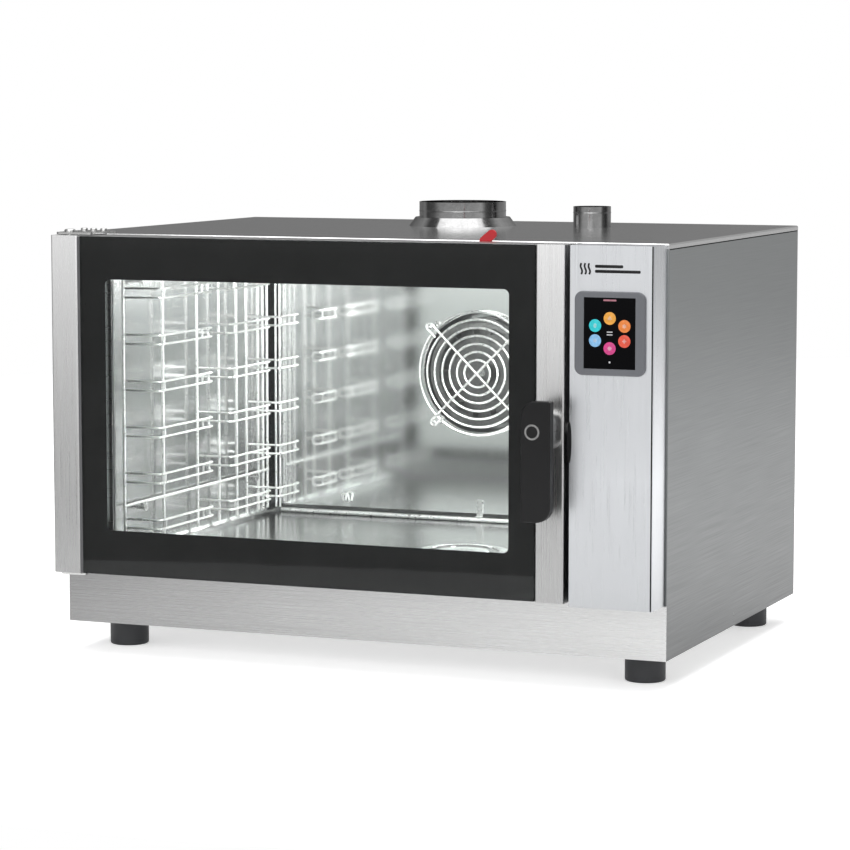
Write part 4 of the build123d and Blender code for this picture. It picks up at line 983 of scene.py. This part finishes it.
def rib(shape, x0, x1, z):
    """One long pressed rib that runs out flat at both ends, with a flat back inside the sheet."""
    rings = []
    for share in RIB_STATIONS:
        x = x0 + (x1 - x0) * share
        swell = min(1.0, min(share, 1 - share) * 20)
        crest = [shape.verts.new((x, back.y1 - 0.2 * MM + (RIB_RISE * high + 0.2 * MM) * swell,
                                  z + RIB_HALF_WIDTH * wide * (0.3 + 0.7 * swell)))
                 for wide, high in RIB_SECTION]
        rings.append(crest + [shape.verts.new((x, back.y1 - 0.3 * MM, z))])
    skin(shape, rings)


def back_panel_ribs():
    """Two pressed ribs on each side of the motor cover, which stiffen the back sheet."""
    shape = bmesh.new()
    spans = ((back.x0 + RIB_FROM_SIDE, motor_cover.x0 - RIB_FROM_COVER),
             (motor_cover.x1 + RIB_FROM_COVER, back.x1 - RIB_FROM_SIDE))
    for x0, x1 in spans:
        for z in (motor_cover.z0 - RIB_SET_OFF, motor_cover.z1 + RIB_SET_OFF):
            rib(shape, x0, x1, z)
    piece("back_panel_ribs", mesh_from(shape, "back_panel_ribs"), "root", "zinc_sheet")


# ---- Studio ----
FLOOR_RADIUS = 3.2
FLOOR_MIDDLE = (0, 1.9, 0)
FRONT_HEIGHTS = [(0.0, 0.35), (0.46, 0.5), (0.49, 0.85), (0.56, 1.05), (0.7, 0.6), (1.0, 0.9)]
REAR_HEIGHTS = [(0.0, 0.4), (0.49, 0.32), (0.53, 0.22), (0.62, 0.25), (1.0, 0.9)]
COMPASS_BANDS = [
    (0.0, 1.0), (0.06, 1.1), (0.12, 0.9), (0.17, 0.25), (0.24, 0.2), (0.28, 1.2), (0.34, 1.0), (0.40, 0.7),
    (0.45, 0.75), (0.52, 1.5), (0.62, 1.6), (0.68, 0.25), (0.76, 0.3), (0.80, 1.3), (0.88, 1.0), (0.94, 1.0),
    (1.0, 1.0)]


def studio_floor():
    """A round pale floor at the level of the feet."""
    mesh = bpy.data.meshes.new("studio_floor")
    shape = bmesh.new()
    bmesh.ops.create_circle(shape, cap_ends=True, segments=96, radius=FLOOR_RADIUS)
    bmesh.ops.translate(shape, verts=shape.verts, vec=FLOOR_MIDDLE)
    shape.to_mesh(mesh)
    shape.free()
    floor = bpy.data.objects.new("studio_floor", mesh)
    floor.location.z = cad_box[0][2]
    bpy.context.scene.collection.objects.link(floor)
    material, tree, shader = new_material("studio_floor_paint")
    tone = mixed(tree, noise(tree, 2, 2), (0.93, 0.93, 0.93), (0.95, 0.95, 0.95))
    tree.links.new(tone, shader.inputs["Base Color"])
    shader.inputs["Roughness"].default_value = 0.8
    shader.inputs["Specular IOR Level"].default_value = 0.1
    shader.inputs["Emission Color"].default_value = (1, 1, 1, 1)
    shader.inputs["Emission Strength"].default_value = 0.42
    mesh.materials.append(material)


def greys(tree, value, start, end, stops):
    """A grey for each value from start to end, eased between the stops."""
    node = add(tree, "ShaderNodeValToRGB")
    elements = node.color_ramp.elements
    while len(elements) < len(stops):
        elements.new(0.5)
    for element, (position, tone) in zip(elements, stops):
        element.position = position
        element.color = (tone, tone, tone, 1)
    tree.links.new(ranged(tree, value, 0, 1, start, end), node.inputs["Fac"])
    return node.outputs["Color"]


def studio_world():
    """Soft surroundings that are plain white to look at, with broad bands for the steel to mirror."""
    world = bpy.data.worlds.new("studio_world")
    bpy.context.scene.world = world
    world.use_nodes = True
    tree = world.node_tree
    background = tree.nodes["Background"]
    place = add(tree, "ShaderNodeTexCoord")
    way = add(tree, "ShaderNodeSeparateXYZ")
    tree.links.new(place.outputs["Generated"], way.inputs["Vector"])
    front = greys(tree, way.outputs["Z"], -1, 1, FRONT_HEIGHTS)
    rear = greys(tree, way.outputs["Z"], -1, 1, REAR_HEIGHTS)
    faced = mixed(tree, ranged(tree, way.outputs["Y"], 0, 1, -0.25, 0.35), front, rear)
    compass = add(tree, "ShaderNodeMath", operation="ARCTAN2")
    tree.links.new(way.outputs["X"], compass.inputs[0])
    tree.links.new(way.outputs["Y"], compass.inputs[1])
    bands = greys(tree, compass.outputs[0], -pi, pi, COMPASS_BANDS)
    banded = add(tree, "ShaderNodeMix", data_type="RGBA", blend_type="MULTIPLY")
    banded.inputs["Factor"].default_value = 1.0
    tree.links.new(faced, banded.inputs[6])
    tree.links.new(bands, banded.inputs[7])
    path = add(tree, "ShaderNodeLightPath")
    seen = mixed(tree, path.outputs["Is Camera Ray"], banded.outputs[2], (1.0, 1.0, 1.0))
    tree.links.new(seen, background.inputs["Color"])
    background.inputs["Strength"].default_value = 1.0


def soft_box(name, place_at, aim, size, power):
    """A rectangular lamp at a place, aimed at another."""
    light = bpy.data.lights.new(name, "AREA")
    light.shape = "RECTANGLE"
    light.size, light.size_y = size
    light.energy = power
    lamp = bpy.data.objects.new(name, light)
    bpy.context.scene.collection.objects.link(lamp)
    lamp.location = place_at
    lamp.rotation_euler = (Vector(aim) - Vector(place_at)).to_track_quat("-Z", "Y").to_euler()


def studio_lamps():
    """Two soft boxes outside, and two small lamps in the cavity's roof and right wall."""
    soft_box("top_soft_box", (0, -0.3, 3.2), (0, 0, 0), (3.2, 3.2), 95)
    soft_box("front_soft_box", (0.6, -4.5, 2.2), (0, 0, 0.3), (2.5, 1.6), 55)
    soft_box("cavity_light", (cavity.x, cavity.y0 + 60 * MM, cavity.z1 - 12 * MM),
             (cavity.x, cavity.y, cavity.z0), (0.5, 0.08), 3.4)
    soft_box("cavity_side_light", (cavity.x1 - 14 * MM, cavity.y0 + 70 * MM, cavity.z),
             (cavity.x0, cavity.y, cavity.z), (0.08, 0.36), 2.0)


def camera():
    """Long lens from the front right, a little above the cover."""
    data = bpy.data.cameras.new("front_right_camera")
    data.lens = 134.26
    data.sensor_width = 36
    view = bpy.data.objects.new("front_right_camera", data)
    bpy.context.scene.collection.objects.link(view)
    view.location = (1.727, -4.2825, 0.797)
    view.rotation_euler = (radians(90 - 5.97), 0, radians(22.15))
    bpy.context.scene.camera = view


dress_cad_nodes()
tray_racks()
fan_guard()
baffle_edge_wires()
baffle_hook()
drain_embossing()
display_menu()
panel_emblem()
glass_edge_beads()
panel_edge_strips()
cover_lip_seals()
keeper_lens()
tube_seams()
back_screws()
side_screws()
data_plate()
rear_louvres()
back_panel_ribs()
studio_floor()
studio_world()
studio_lamps()
camera()
bpy.context.scene.view_settings.view_transform = "Standard"
